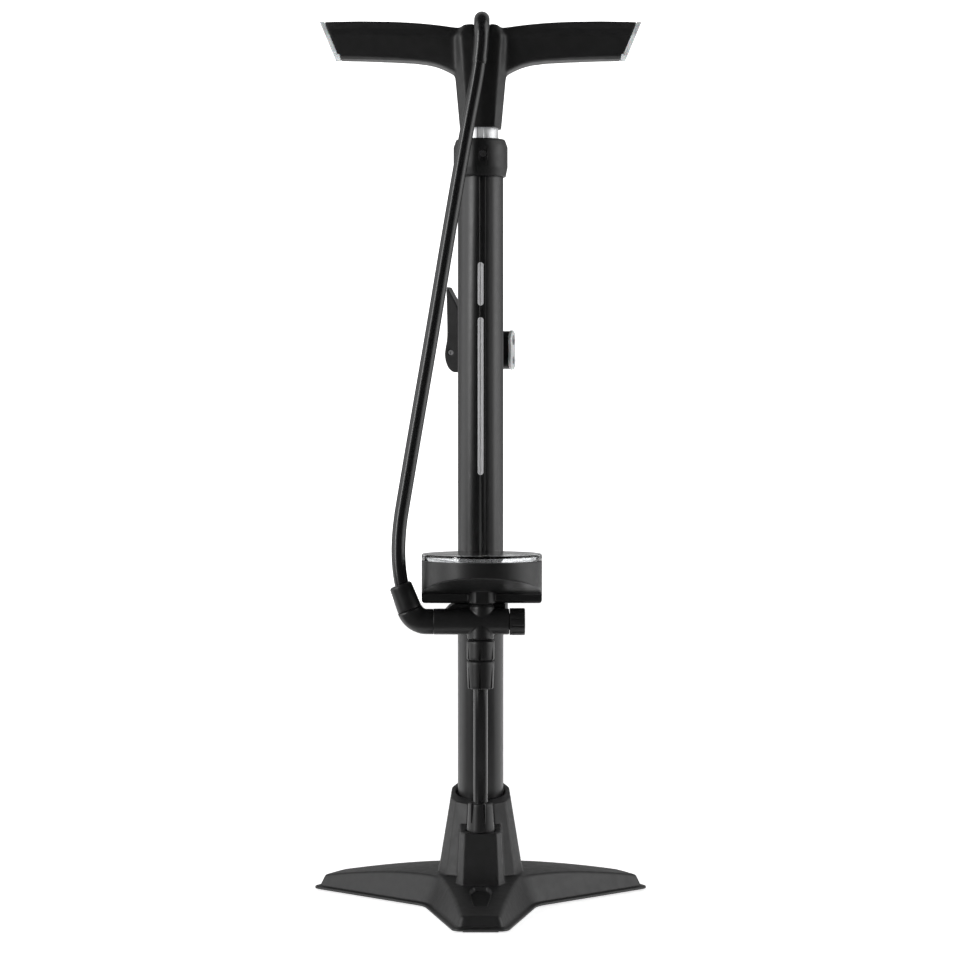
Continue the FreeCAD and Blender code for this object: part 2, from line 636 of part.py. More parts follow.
def fluted_nut(name, length, foot_r, top_r, bore, flutes, deep_up, phase, at, rounding=0.8):
    """A tapered nut with V flutes that run out towards one end."""
    blank = turned(name + "_blank", [
        (bore, 0), (f"{foot_r}-{rounding}", 0), (foot_r, rounding), (top_r, f"{length}-{rounding}"),
        (f"{top_r}-{rounding}", length), (bore, length),
    ])
    tall = size(length)
    wide = size(top_r if deep_up else foot_r)
    shallow_z, deep_z = (tall * 0.16, tall + 1) if deep_up else (tall * 0.84, -1)
    shapes = []
    for number in range(flutes):
        tip = Part.makePolygon([Vector(wide + 0.6, -0.05, shallow_z), Vector(wide + 0.6, 0.05, shallow_z),
                                Vector(wide + 0.5, 0, shallow_z), Vector(wide + 0.6, -0.05, shallow_z)])
        end = Part.makePolygon([Vector(wide + 1.2, -2.6, deep_z), Vector(wide + 1.2, 2.6, deep_z),
                                Vector(wide - 1.9, 0, deep_z), Vector(wide + 1.2, -2.6, deep_z)])
        flute = Part.makeLoft([tip, end], True, True)
        flute.rotate(Vector(), Vector(0, 0, 1), phase + 360.0 * number / flutes)
        shapes.append(flute)
    return place(drill(name, blank, shapes), at)


BORE = "hose_r+0.12"
keep(fluted_nut("port_nut", "nut_len+1.4", "nut_r", "nut_tip_r-0.2", BORE, 6, True, -72,
                (0, "port_y", "port_nut_z")), "base_nut")
keep(fluted_nut("hose_nut", "nut_len", "nut_tip_r", "nut_r-0.1", BORE, 6, False, -92,
                (0, "axis_y", "union_z-nut_len")), "riser_nut")
keep(fluted_nut("collar_nut", "union_len", "nut_r-0.1", "nut_r", "4.72", 6, False, -152,
                (0, "axis_y", "union_z"), 1.6), "union_nut")

keep(turned("port_barb", [
    (1.4, 0), (5.4, 0), (5.4, 14), (3.1, 14), (3.1, 16), (2.3, 16), (2.6, 18.5), (2.3, 18.5), (2.6, 21),
    (2.3, 21), (2.5, 23.5), (1.4, 23.5),
], at=(0, "port_y", 45.4)), "base_barb")

keep(turned("union_barb", [
    (1.4, 0), (2.5, 0), (2.3, 2.5), (2.6, 2.5), (2.3, 5), (2.6, 5), (2.3, 7.5), (3.1, 7.5), (3.1, 10),
    (4.6, 10), (4.6, 27), (1.4, 27),
], at=(0, "axis_y", "union_z-8")), "union_barb")


def riser_shape():
    port, axis = size("port_y"), size("axis_y")
    points = [Vector(0, axis, size("union_z") - 0.6), Vector(0, axis, 152), Vector(0, port, 98), Vector(0, port, 61.6)]
    wire = routed(points, [110, 110])
    return tube_along(wire, size("hose_r")).cut(tube_along(wire, 2.7))


riser = shape_piece("riser_tube", riser_shape())
keep(riser, "riser_hose")

# ---------------------------------------------------------------- manifold, clamp, elbow and collar


def manifold_shape():
    axis, duct = size("axis_y"), size("duct_z")
    low = size("gauge_low")
    right = Vector(1, 0, 0)
    body = Part.makeCylinder(size("duct_r"), size("duct_left+duct_right"), Vector(-size("duct_left"), axis, duct), right)
    shoulder = 2.4
    stem = Part.makeCylinder(size("stem_r"), low - 0.1 - duct - shoulder, Vector(1, axis, duct))
    taper = Part.makeCone(size("stem_r"), size("stem_r") - 1.3, shoulder, Vector(1, axis, low - 0.1 - shoulder))
    port = Part.makeCone(9.9, 9.5, 11.8, Vector(0, axis, size("union_z+union_len") + 0.3))
    front = Part.makeBox(28, 44, 17, Vector(-14, axis + 2, duct - 7.5))
    gusset = Part.Face(Part.makePolygon([Vector(-33, 0, duct), Vector(-24, 0, duct + 10.2), Vector(-19, 0, low - 0.6),
                                         Vector(18.5, 0, low - 0.6), Vector(18.5, 0, duct), Vector(-33, 0, duct)]))
    gusset = gusset.extrude(Vector(0, 34, 0))
    gusset.translate(Vector(0, axis + 5, 0))
    grip = Part.makeCylinder(size("clamp_r"), size("clamp_len"), Vector(0, 0, size("clamp_z")))
    ears = Part.makeBox(64, 9, size("ear_len"), Vector(-32, -9.6, size("ear_z")))
    ears = ears.makeFillet(3, [edge for edge in ears.Edges if abs(edge.tangentAt(0).y) > 0.9])
    solid = body.fuse([stem, taper, port, front, gusset, grip, ears])
    back = Part.makeBox(80, 60, 90, Vector(-40, -0.6, size("clamp_z") - 10))
    gauge = Part.makeCylinder(size("gauge_r") + 0.15, 60, Vector(0.9, axis, low - 0.05))
    barrel = Part.makeCylinder(size("barrel_r+fit_gap"), 90, Vector(0, 0, size("clamp_z") - 10))
    return solid.cut([back, gauge, barrel])


def manifold_holes():
    axis, duct = size("axis_y"), size("duct_z")
    right = Vector(1, 0, 0)
    left_end = -size("duct_left")
    holes = [Part.makeCylinder(6.4, 60, Vector(left_end - 0.1, axis, duct), right),
             Part.makeCylinder(7.1, 8, Vector(left_end - 0.1, axis, duct), right),
             Part.makeCylinder(2.6, 20, Vector(1, axis, duct)),
             Part.makeCylinder(4.68, 20, Vector(0, axis, size("union_z") + 10))]
    holes += [Part.makeCylinder(1.6, 30, Vector(side * size("ear_x"), -15, size("ear_z") + dz), Vector(0, 1, 0))
              for side in (-1, 1) for dz in (6, 18)]
    return holes


keep(drill("manifold", shape_piece("manifold_blank", manifold_shape()), manifold_holes()), "manifold_body")


def clamp_shape():
    grip = Part.makeCylinder(size("clamp_r"), size("clamp_len"), Vector(0, 0, size("clamp_z")))
    ears = Part.makeBox(64, 7, size("ear_len"), Vector(-32, 0.6, size("ear_z")))
    ears = ears.makeFillet(3, [edge for edge in ears.Edges if abs(edge.tangentAt(0).y) > 0.9])
    front = Part.makeBox(80, 60, 90, Vector(-40, -59.4, size("clamp_z") - 10))
    barrel = Part.makeCylinder(size("barrel_r+fit_gap"), 90, Vector(0, 0, size("clamp_z") - 10))
    holes = [Part.makeCylinder(1.6, 30, Vector(side * size("ear_x"), -15, size("ear_z") + dz), Vector(0, 1, 0))
             for side in (-1, 1) for dz in (6, 18)]
    return grip.fuse(ears).cut([front, barrel] + holes)


keep(shape_piece("clamp_half", clamp_shape()), "clamp_back")

ear_screw = socket_screw("ear_screw", 2.8, 2.6, 1.5, 14.5, 1.3, (0, 0, 0))
doc.recompute()
ear_shapes = []
for side in (-1, 1):
    for dz in (6, 18):
        shape = ear_screw.Shape.copy()
        shape.Placement = Placement(Vector(side * size("ear_x"), 10.3, size("ear_z") + dz),
                                    Rotation(Vector(1, 0, 0), -90))
        ear_shapes.append(shape)
keep(shape_piece("ear_screws", Part.makeCompound(ear_shapes)), "clamp_screws")

TURN = math.radians(size("elbow_turn"))
UP_LEFT = Vector(-math.cos(TURN), 0, math.sin(TURN))
CORNER = Vector(-size("elbow_x"), size("axis_y"), size("duct_z"))
SEAM = CORNER + UP_LEFT * size("elbow_run")


def elbow_shape():
    start = Vector(-size("duct_left") - 0.12, size("axis_y"), size("duct_z"))
    wire = routed([start, CORNER, SEAM + UP_LEFT * 0.02], [size("elbow_run") / math.tan(TURN / 2)])
    outer = tube_along(wire, size("elbow_r"))
    spigot = Part.makeCylinder(7.0, 8.1, start - Vector(0.2, 0, 0), Vector(1, 0, 0))
    inner = tube_along(wire, 4.2)
    bore = Part.makeCylinder(4.2, 14, start - Vector(2, 0, 0), Vector(1, 0, 0))
    return outer.fuse(spigot).cut([inner, bore])


keep(shape_piece("elbow_bend", elbow_shape()), "elbow")
LEAN = Rotation(Vector(0, 0, 1), UP_LEFT)


def on_collar(piece, along=0.0):
    for letter in "xyz":
        piece.setExpression("Placement.Base." + letter, None)
    piece.Placement = Placement(SEAM + UP_LEFT * (0.15 + along), LEAN)
    return piece


keep(on_collar(turned("collar", [
    (3.0, 0), ("collar_r-0.4", 0), ("collar_r", 0.5), ("collar_tip_r+0.15", "collar_len-1.2"),
    ("collar_tip_r-1.0", "collar_len"), (BORE, "collar_len"), (BORE, "collar_len-collar_bore"),
    (3.0, "collar_len-collar_bore"),
])), "hose_collar")

# ---------------------------------------------------------------- selector knob and its spindle


def knob_shape():
    right = Vector(1, 0, 0)
    start = Vector(size("duct_right") + 0.3, size("axis_y"), size("duct_z"))
    radius, length = size("knob_r"), size("knob_len")
    body = Part.makeCylinder(radius, length, start, right)
    body = body.makeFillet(0.9, [edge for edge in body.Edges if edge.Curve.TypeId == "Part::GeomCircle"
                                 and edge.Curve.Center.x > start.x + 1])
    cuts = [Part.makeCylinder(7.4, 1.2, start + right * (length - 1.2), right)]
    for number in range(12):
        angle = math.radians(15 + 30 * number)
        spot = start + Vector(1.8, math.cos(angle) * (radius + 0.75), math.sin(angle) * (radius + 0.75))
        cuts.append(Part.makeCylinder(1.25, length, spot, right))
    bar = Part.makeBox(1.0, 3.2, 12, start + Vector(length - 1.3, -1.6, -6))
    return body.cut(cuts).fuse(bar)


keep(shape_piece("knob", knob_shape()), "selector_knob")
keep(turned("spindle", [
    (0, 0), (6.32, 0), (6.32, 6), (4.25, 6), (4.25, 8.6), (6.32, 8.6), (6.32, 12), (2.6, 12), (2.6, 16), (6.32, 16),
    (6.32, 22), (0, 22),
], at=("duct_right+0.3-22", "axis_y", "duct_z"), rotation=ALONG_X), "selector_spindle")
keep(ring("spindle_seal", 5.3, 1.0, ("duct_right+0.3-22+7.3", "axis_y", "duct_z"), ALONG_X), "spindle_ring")

# ---------------------------------------------------------------- gauge


def gauge_block(radius, inward, rounding):
    """A disc whose underside is stepped and sloped on its front half, moved inwards by inward."""
    axis, fold, lip = size("axis_y"), size("gauge_fold"), size("gauge_lip")
    low, rim = size("gauge_low") + inward, size("gauge_rim") + (5 if inward else 0)
    slope = (lip - fold) / size("gauge_r")
    corners = [(0, low), (axis + inward, low), (axis + inward, fold + inward),
               (axis - 60, fold + inward + 60 * slope), (axis - 60, rim), (0, rim)]
    outline = Part.makePolygon([Vector(-70, y, z) for y, z in corners + corners[:1]])
    prism = Part.Face(outline).extrude(Vector(140, 0, 0))
    disc = Part.makeCylinder(radius, rim - low, Vector(0.9, axis, low))
    if rounding:
        step = [edge for edge in prism.Edges if abs(edge.CenterOfMass.y - axis) < 0.01
                and abs(edge.CenterOfMass.z - low) < 0.01 and edge.Length > 100]
        prism = prism.makeFillet(rounding, step)
        disc = disc.makeFillet(rounding, [edge for edge in disc.Edges if edge.Curve.TypeId == "Part::GeomCircle"
                                          and abs(edge.Curve.Center.z - low) < 0.01])
    return disc.common(prism)


def gauge_housing_shape():
    axis, low = size("axis_y"), size("gauge_low")
    radius, wall = size("gauge_r"), size("gauge_wall")
    seat = Part.makeCylinder(radius - wall + 0.9, 10, Vector(0.9, axis, size("dial_z")))
    hole = Part.makeCylinder(4.0, 20, Vector(1, axis + 6, low - 1))
    foot = Part.makeCylinder(size("stem_r") + 0.9, size("gauge_fold") + 3.5 - low, Vector(1, axis, low))
    foot = foot.cut(Part.makeBox(40, 40, 40, Vector(-20, axis - 49, low - 5)))
    block = gauge_block(radius, 0, 2.6).fuse(foot)
    return block.cut([gauge_block(radius - wall, wall, 0), seat, hole])


keep(shape_piece("gauge_cup", gauge_housing_shape()), "gauge_housing")
GAUGE = (0.9, "axis_y", "gauge_rim")
keep(turned("lens", [
    (0, 2.7), (42.6, 2.7), (43.1, 0.05), ("gauge_r", 0.05), ("gauge_r", "gauge_top-gauge_rim-0.7"),
    ("gauge_r-0.7", "gauge_top-gauge_rim"), (0, "gauge_top-gauge_rim"),
], at=GAUGE), "gauge_lens")
keep(turned("dial", [
    (1.6, 0), ("gauge_r-gauge_wall+0.75", 0), ("gauge_r-gauge_wall+0.75", "dial_t"), (1.6, "dial_t"),
], at=(0.9, "axis_y", "dial_z+0.05")), "gauge_dial")

FLOOR = "gauge_low+gauge_wall"
socket_block = box("socket_block", 14, 22, 17, (-6, "axis_y+3", FLOOR + "+0.05"))
socket_neck = cylinder("socket_neck", 3.9, 4.0, (1, "axis_y+6", FLOOR + "-2.35"))
keep(cut("gauge_socket_cut", fuse("gauge_socket_body", socket_block, socket_neck),
         cylinder("socket_bore", 1.3, 18, (1, "axis_y+6", FLOOR + "-4"))), "gauge_socket")


def bourdon_shape():
    """The flattened pressure tube: three quarters of a turn round the gauge's axis."""
    axis, low = size("axis_y"), size("gauge_low") + 20.2
    section = Part.Face(Part.makePolygon([Vector(x, 0, z) for x, z in
                                          ((25.5, 0.9), (26.4, 0), (28, 0), (28.9, 0.9), (28.9, 5.6), (28, 6.5),
                                           (26.4, 6.5), (25.5, 5.6), (25.5, 0.9))]))
    tube = section.revolve(Vector(), Vector(0, 0, 1), 252)
    root = Part.makeBox(12, 5, 6.5, Vector(20, -5, 0))
    shape = tube.fuse(root)
    shape.rotate(Vector(), Vector(0, 0, 1), 82)
    shape.translate(Vector(0.9, axis, low))
    return shape


keep(shape_piece("bourdon", bourdon_shape()), "bourdon_tube")

PINION = Vector(0.9, size("axis_y"), 0)
SECTOR = Vector(0.9, size("axis_y") + 13.0, 0)


def movement_shape():
    """Two plates on pillars, standing on the socket block beside it."""
    low = size("gauge_low") + size("gauge_wall") + 17.1
    plate_t = 1.2
    lower = Part.makeBox(22, 26.6, plate_t, Vector(-10, size("axis_y") - 8, low))
    upper = Part.makeBox(22, 26.6, plate_t, Vector(-10, size("axis_y") - 8, low + 5.4))
    lower = lower.makeFillet(3, [edge for edge in lower.Edges if abs(edge.tangentAt(0).z) > 0.9])
    upper = upper.makeFillet(3, [edge for edge in upper.Edges if abs(edge.tangentAt(0).z) > 0.9])
    spots = [(-7.6, -5.6), (9.6, -5.6), (-7.6, 16.2), (9.6, 16.2)]
    pillars = [Part.makeCylinder(1.5, 5.4, Vector(x, size("axis_y") + y, low + 0.6)) for x, y in spots]
    bores = [Part.makeCylinder(1.05, 40, Vector(spot.x, spot.y, low - 5)) for spot in (PINION, SECTOR)]
    return lower.fuse([upper] + pillars).cut(bores)


def gear_shape(radius, teeth, thickness, first, last):
    """A disc with straight-flanked teeth between two angles, in degrees."""
    depth = 0.8
    step = 360.0 / teeth
    points = []
    number = 0
    while first + number * step < last - 1e-6:
        base_angle = first + number * step
        for share, level in ((0.0, -depth), (0.24, -depth), (0.46, depth * 0.5), (0.58, depth * 0.5), (0.78, -depth)):
            angle = math.radians(base_angle + share * step)
            points.append(Vector(math.cos(angle) * (radius + level), math.sin(angle) * (radius + level), 0))
        number += 1
    if last - first < 359:
        points.append(Vector(0, 0, 0))
    return Part.Face(Part.makePolygon(points + points[:1])).extrude(Vector(0, 0, thickness))


MOVE_Z = size("gauge_low") + size("gauge_wall") + 18.3


def sector_shape():
    blade = gear_shape(11.05, 84, 1.2, 216.571, 280.8).cut(Part.makeCylinder(1.0, 4, Vector(0, 0, -1)))
    arbor = Part.makeCylinder(1.0, 7.2, Vector(0, 0, -2.2))
    hub = Part.makeCylinder(2.4, 2.2, Vector(0, 0, 0))
    tail = Part.makeBox(2.6, 9.5, 1.2, Vector(-1.3, 0, 0))
    shape = blade.fuse([hub, tail, arbor])
    shape.translate(SECTOR + Vector(0, 0, MOVE_Z + 1.2))
    return shape


def pinion_shape():
    pinion = gear_shape(1.85, 14, 2.2, 0, 360)
    arbor = Part.makeCylinder(0.95, 14.6, Vector(0, 0, -2.0))
    shape = pinion.fuse(arbor)
    shape.rotate(Vector(), Vector(0, 0, 1), 10.97)
    shape.translate(PINION + Vector(0, 0, MOVE_Z + 0.7))
    return shape


keep(shape_piece("movement", movement_shape()), "gauge_movement")
keep(shape_piece("sector", sector_shape()), "sector_gear")
keep(shape_piece("pinion", pinion_shape()), "needle_pinion")


def needle_shape():
    blade = Part.Face(Part.makePolygon([Vector(x, y, 0) for x, y in
                                        ((-1.5, -9), (1.5, -9), (0.28, 33), (-0.28, 33), (-1.5, -9))]))
    blade = blade.extrude(Vector(0, 0, 0.5))
    hub = Part.makeCylinder(3.2, 1.6, Vector(0, 0, -0.1))
    shape = blade.fuse(hub).cut(Part.makeCylinder(1.0, 6, Vector(0, 0, -3)))
    shape.rotate(Vector(), Vector(0, 0, 1), 135)
    shape.translate(PINION + Vector(0, 0, size("dial_z") + 2.6))
    return shape


keep(shape_piece("needle", needle_shape()), "gauge_needle")

# ---------------------------------------------------------------- chuck, its lever and its clip

CHUCK = Placement(Vector(0.4, size("chuck_y"), size("chuck_z")), Rotation(Vector(0, 0, 1), size("chuck_turn")))
PIVOT = Vector(size("pivot_x"), 0, -1.8)
ACROSS = Vector(0, 1, 0)


def on_chuck(shape):
    shape.Placement = CHUCK.multiply(shape.Placement)
    return shape


def port_outline(grow, x):
    """The figure-of-eight outline round the two valve ports, in the plane across the chuck."""
    half_w, half_h, waist = size("chuck_half_w") + grow, size("chuck_half_h") + grow, size("chuck_half_w") - 1.1 + grow
    dz = size("port_dz")
    upper = [Vector(x, half_w, dz), Vector(x, 0, half_h), Vector(x, -half_w, dz)]
    lower = [Vector(x, -half_w, -dz), Vector(x, 0, -half_h), Vector(x, half_w, -dz)]
    edges = [arc_through(*upper), arc_through(upper[2], Vector(x, -waist, 0), lower[0]),
             arc_through(*lower), arc_through(lower[2], Vector(x, waist, 0), upper[0])]
    return Part.Wire(edges)


def chuck_body_shape():
    end = size("chuck_end")
    face = end - 2.4
    block = Part.Face(port_outline(-0.6, -20)).extrude(Vector(face + 20, 0, 0))
    relief = Part.makeCylinder(17.4, 40, PIVOT - ACROSS * 20, ACROSS)
    tongue = Part.makeBox(20, 6, 8.4, PIVOT + Vector(0, -3, -4.2)).fuse(
        Part.makeCylinder(4.2, 6, PIVOT - ACROSS * 3, ACROSS))
    neck = Part.makeCylinder(6.4, 8, Vector(3, 0, 10))
    heel = Part.makeBox(31, 40, 60, PIVOT + Vector(-20, -20, -30))
    solid = block.cut([relief, heel]).fuse([tongue, neck])
    dz = size("port_dz")
    holes = [Part.makeCylinder(6.2, 14, Vector(face - 9, 0, dz), Vector(1, 0, 0)),
             Part.makeCylinder(6.2, 14, Vector(face - 9, 0, -dz), Vector(1, 0, 0)),
             Part.makeCylinder(3.0, 12, Vector(face - 20.5, 0, dz), Vector(1, 0, 0)),
             Part.makeCylinder(2.0, 12, Vector(face - 20.5, 0, -dz), Vector(1, 0, 0)),
             Part.makeCylinder(1.7, 60, Vector(4, 0, -8)),
             Part.makeCylinder(4.0, 10, Vector(3, 0, 15.6)),
             Part.makeCylinder(size("pin_r") + 0.05, 30, PIVOT - ACROSS * 15, ACROSS)]
    return on_chuck(solid.cut(holes))


def port_face_shape():
    end = size("chuck_end")
    ring_solid = Part.Face(port_outline(0, end - 2.35)).extrude(Vector(2.35, 0, 0))
    rim = [edge for edge in ring_solid.Edges if edge.BoundBox.XMin > end - 0.1]
    ring_solid = ring_solid.makeFillet(0.8, rim)
    dz = size("port_dz")
    holes = [Part.makeCylinder(size("wide_valve_r"), 9, Vector(end - 5, 0, dz), Vector(1, 0, 0)),
             Part.makeCylinder(size("narrow_valve_r"), 9, Vector(end - 5, 0, -dz), Vector(1, 0, 0))]
    return on_chuck(ring_solid.cut(holes))


def valve_seal_shape(radius, side):
    end = size("chuck_end")
    start = Vector(end - 11.3, 0, side * size("port_dz"))
    seal = Part.makeCylinder(6.1, 8.85, start, Vector(1, 0, 0))
    return on_chuck(seal.cut(Part.makeCylinder(radius, 20, start - Vector(5, 0, 0), Vector(1, 0, 0))))


keep(shape_piece("chuck_block", chuck_body_shape()), "chuck_body")
keep(shape_piece("port_ring", port_face_shape()), "chuck_port_face")
keep(shape_piece("wide_seal", valve_seal_shape(size("wide_valve_r"), 1)), "wide_valve_seal")
keep(shape_piece("narrow_seal", valve_seal_shape(size("narrow_valve_r"), -1)), "narrow_valve_seal")


def lever_shape():
    """A curved thumb lever with a cam foot, forked round the chuck's tongue."""
    tall = size("lever_len")
    left = [(-3.6, 0.93 * tall), (-3.3, 0.72 * tall), (-3.0, 0.42 * tall), (-3.2, 0.2 * tall), (-4.3, 3.4),
            (-4.9, -1.0), (-4.2, -6.5), (-1.9, -12.0), (1.8, -15.2)]
    right = [(1.8, -15.2), (6.8, -15.0), (12.0, -10.6), (15.0, -5.0), (14.0, 3.0), (10.6, 10.6),
             (8.2, 18.0), (7.4, 28.0), (5.2, 36.0), (1.4, 43.4), (-3.0, tall)]
    curves = []
    for points in (left, right):
        curve = Part.BSplineCurve()
        curve.interpolate([Vector(x, 0, z) for x, z in points])
        curves.append(curve.toShape())
    tip = Part.makeLine(Vector(-3.0, 0, tall), Vector(-3.6, 0, 0.93 * tall))
    profile = Part.Face(Part.Wire(curves + [tip]))
    profile.translate(PIVOT + Vector(0, -7.2, 0))
    solid = profile.extrude(Vector(0, 14.4, 0))
    slot = Part.makeBox(40, 6.8, 34, PIVOT + Vector(-4.6, -3.4, -22))
    bore = Part.makeCylinder(size("pin_r") + 0.05, 30, PIVOT - ACROSS * 15, ACROSS)
    return on_chuck(solid.cut([slot, bore]))


keep(shape_piece("lever", lever_shape()), "chuck_lever")


def lever_pin_shape():
    pin = Part.makeCylinder(size("pin_r"), 14.0, PIVOT - ACROSS * 7.0, ACROSS)
    return on_chuck(pin.cut(Part.makeCylinder(1.1, 30, PIVOT - ACROSS * 15, ACROSS)))


keep(shape_piece("tube_pin", lever_pin_shape()), "lever_pin")


def ferrule_shape():
    profile = [(5.42, 0), (6.7, 0), (6.7, 1.2), (6.3, 2.0), (6.3, 12.0), (5.9, 13.0), (5.42, 13.0), (5.42, 0)]
    outline = Part.makePolygon([Vector(r, 0, z) for r, z in profile])
    solid = Part.Face(outline).revolve(Vector(), Vector(0, 0, 1), 360)
    solid.translate(Vector(3, 0, 18.05))
    return on_chuck(solid)


keep(shape_piece("ferrule", ferrule_shape()), "chuck_ferrule")


def clip_shape():
    """A saddle bonded to the barrel, with two jaws over and under the chuck."""
    rear, middle = size("chuck_y"), size("chuck_z")
    half = size("chuck_half_h") + 0.1
    back = Part.makeBox(18, 9, 2 * half + 6.4, Vector(-9, 13.4, middle - half - 3.2))
    jaws = [Part.makeBox(18, 27, 3.2, Vector(-9, 15, z)) for z in (middle + half, middle - half - 3.2)]
    lips = [Part.makeCylinder(1.1, 14, Vector(-7, 39.6, z), Vector(1, 0, 0))
            for z in (middle + half + 0.2, middle - half - 0.2)]
    solid = back.fuse(jaws + lips)
    corner = [edge for edge in solid.Edges if abs(edge.tangentAt(edge.FirstParameter).z) > 0.95
              and edge.CenterOfMass.y > 41]
    solid = solid.makeFillet(4, corner)
    cuts = [Part.makeCylinder(size("barrel_r") + 0.05, 90, Vector(0, 0, middle - 45)),
            on_chuck(Part.makeCylinder(6.9, 30, Vector(3, 0, 8))),
            on_chuck(Part.Face(port_outline(-0.5, -20)).extrude(Vector(50, 0, 0)))]
    return solid.cut(cuts)


keep(shape_piece("clip", clip_shape()), "chuck_clip")

# ---------------------------------------------------------------- handle


# the arms along their length: distance from the middle, drop of their top, and drop of their underside
ARM_STATIONS = [(0, 5.0, 12.0), (16, 4.9, 12.0), (21, 4.4, 10.2), (26, 3.6, 7.6), (32, 2.8, 5.0), (39, 2.0, 3.2),
                (50, 1.1, 1.8), (66, 0.45, 0.9), (92, 0.0, 0.1), (130, 0.7, -0.3)]


def arm_section(x, top_drop, low_drop):
    """The handle's eight-sided section across its length."""
    share = min(abs(x) / size("arm_half"), 1.0)
    top, ridge, low = size("arm_top") - top_drop, size("hub_ridge_z"), size("arm_low") - low_drop
    depth = size("arm_depth") - 1.6 * share
    half = [(depth - 6.2, top), (depth, ridge), (depth - 0.8 - 3.4 * share, low + 1.4 + 1.2 * share),
            (depth - 2.4 - 5.4 * share, low)]
    corners = [(-y, z) for y, z in half] + [(y, z) for y, z in reversed(half)]
    return Part.makePolygon([Vector(x, y, z) for y, z in corners + corners[:1]])


def arms_shape():
    stations = [(-x, *drops) for x, *drops in reversed(ARM_STATIONS[1:])] + ARM_STATIONS
    return Part.makeLoft([arm_section(*station) for station in stations], True, True)


def end_slab(side, inner, outer):
    """The raked slab between two distances in from a handle end, measured at the arm's top."""
    start = size("arm_half") - inner
    block = Part.makeBox(inner - outer, 80, 120, Vector(start, -40, -60))
    block.translate(Vector(-size("arm_half"), 0, 0))
    block.rotate(Vector(), Vector(0, 1, 0), size("end_rake"))
    block.translate(Vector(size("arm_half"), 0, size("arm_top")))
    return block if side > 0 else block.mirror(Vector(), Vector(1, 0, 0))


def hub_shape():
    low, wide, ridge, top = size("hub_z"), size("hub_wide_z"), size("hub_ridge_z"), size("hub_top")

    def section(z, half_w, half_d, bevel):
        corners = [(half_w, half_d - 1.35 * bevel), (half_w - bevel, half_d), (bevel - half_w, half_d),
                   (-half_w, half_d - 1.35 * bevel), (-half_w, 1.35 * bevel - half_d), (bevel - half_w, -half_d),
                   (half_w - bevel, -half_d), (half_w, 1.35 * bevel - half_d)]
        return Part.makePolygon([Vector(x, y, z) for x, y in corners + corners[:1]])
    sections = [section(low, size("hub_low_w"), 16.4, 5.4), section(wide, size("hub_wide_w"), 20.3, 6.3),
                section(ridge - 0.7, size("hub_wide_w") - 1.85, 20.3, 2.8),
                section(top, size("hub_wide_w") - 6.6, 13.6, 2.4)]
    return Part.makeLoft(sections, True, True)


# the hose: out of the collar, up the front, over the hub and down behind the barrel to the chuck
HOSE_END = CHUCK.multVec(Vector(3, 0, 18.1))
HOSE_START = SEAM + UP_LEFT * (0.2 + size("collar_len-collar_bore"))
HOSE_ROUTE = [HOSE_START, SEAM + UP_LEFT * 35.5, Vector(-51.6, -55.6, 345), Vector(-36.7, -46.3, 432),
              Vector(-24.0, -38.6, 510), Vector(-12.0, -32.2, 580), Vector(0.3, -26.8, 644), Vector(1.0, -26.6, 675.4),
              Vector(1.0, 26.6, 675.4), Vector(0.6, 26.6, 575), Vector(HOSE_END.x, HOSE_END.y, 484), HOSE_END]
HOSE_RADII = [50, 420, 420, 420, 420, 34, 26.5, 26.5, 420, 300]
HOSE_WIRE = routed(HOSE_ROUTE, HOSE_RADII)
SLEEVE_LOW = 638.0


def over_hub(shape):
    """The part of a shape that lies over the handle's hub."""
    return shape.common(Part.makeBox(60, 120, 80, Vector(-30, -60, SLEEVE_LOW)))


def end_cap_zone(side, gap):
    """The space of an end cap: the raked slab and the toe under it, smaller all round by gap."""
    toe = Part.makeBox(40, 60, 20, Vector(size("cap_toe_x") + gap, -30, size("cap_toe_z") - gap - 20))
    toe.rotate(Vector(size("cap_toe_x"), 0, size("cap_toe_z")), Vector(0, 1, 0), 8)
    if side < 0:
        toe = toe.mirror(Vector(), Vector(1, 0, 0))
    return end_slab(side, size("end_cap_t") - gap, -30).fuse(toe)


def handle_shape():
    solid = arms_shape().fuse(hub_shape())
    groove = tube_along(HOSE_WIRE, size("sleeve_r") + 0.5).common(
        Part.makeBox(80, 120, 130, Vector(-40, -60, 600)))
    bore = Part.makeCylinder(size("tube_r") + 0.08, 80, Vector(0, 0, 580)).common(
        Part.makeBox(60, 60, 652.3 - 570, Vector(-30, -30, 570)))
    pin = [Part.makeCylinder(2.05, 60, Vector(0, -14.4, 604), Vector(0, 1, 0)),
           Part.makeCylinder(3.6, 4.1, Vector(0, 14.5, 604), Vector(0, 1, 0))]
    ends = [end_cap_zone(side, 0) for side in (-1, 1)]
    return solid.cut([groove, bore] + pin + ends)


ARMS = arms_shape()
keep(shape_piece("handle", handle_shape()), "handle_grip")
for label, side in (("end_cap_left", -1), ("end_cap_right", 1)):
    beyond = end_slab(side, 0, -40)
    keep(shape_piece(label, ARMS.common(end_cap_zone(side, 0.04)).cut(beyond)), label)

keep(fuse("hub_pin", cylinder("hub_pin_shank", 2.0, 28.9, (0, -14.35, 604), ALONG_Y),
          cylinder("hub_pin_head", 3.5, 2.0, (0, 14.5, 604), ALONG_Y)), "handle_pin")

# ---------------------------------------------------------------- hose and its sleeve

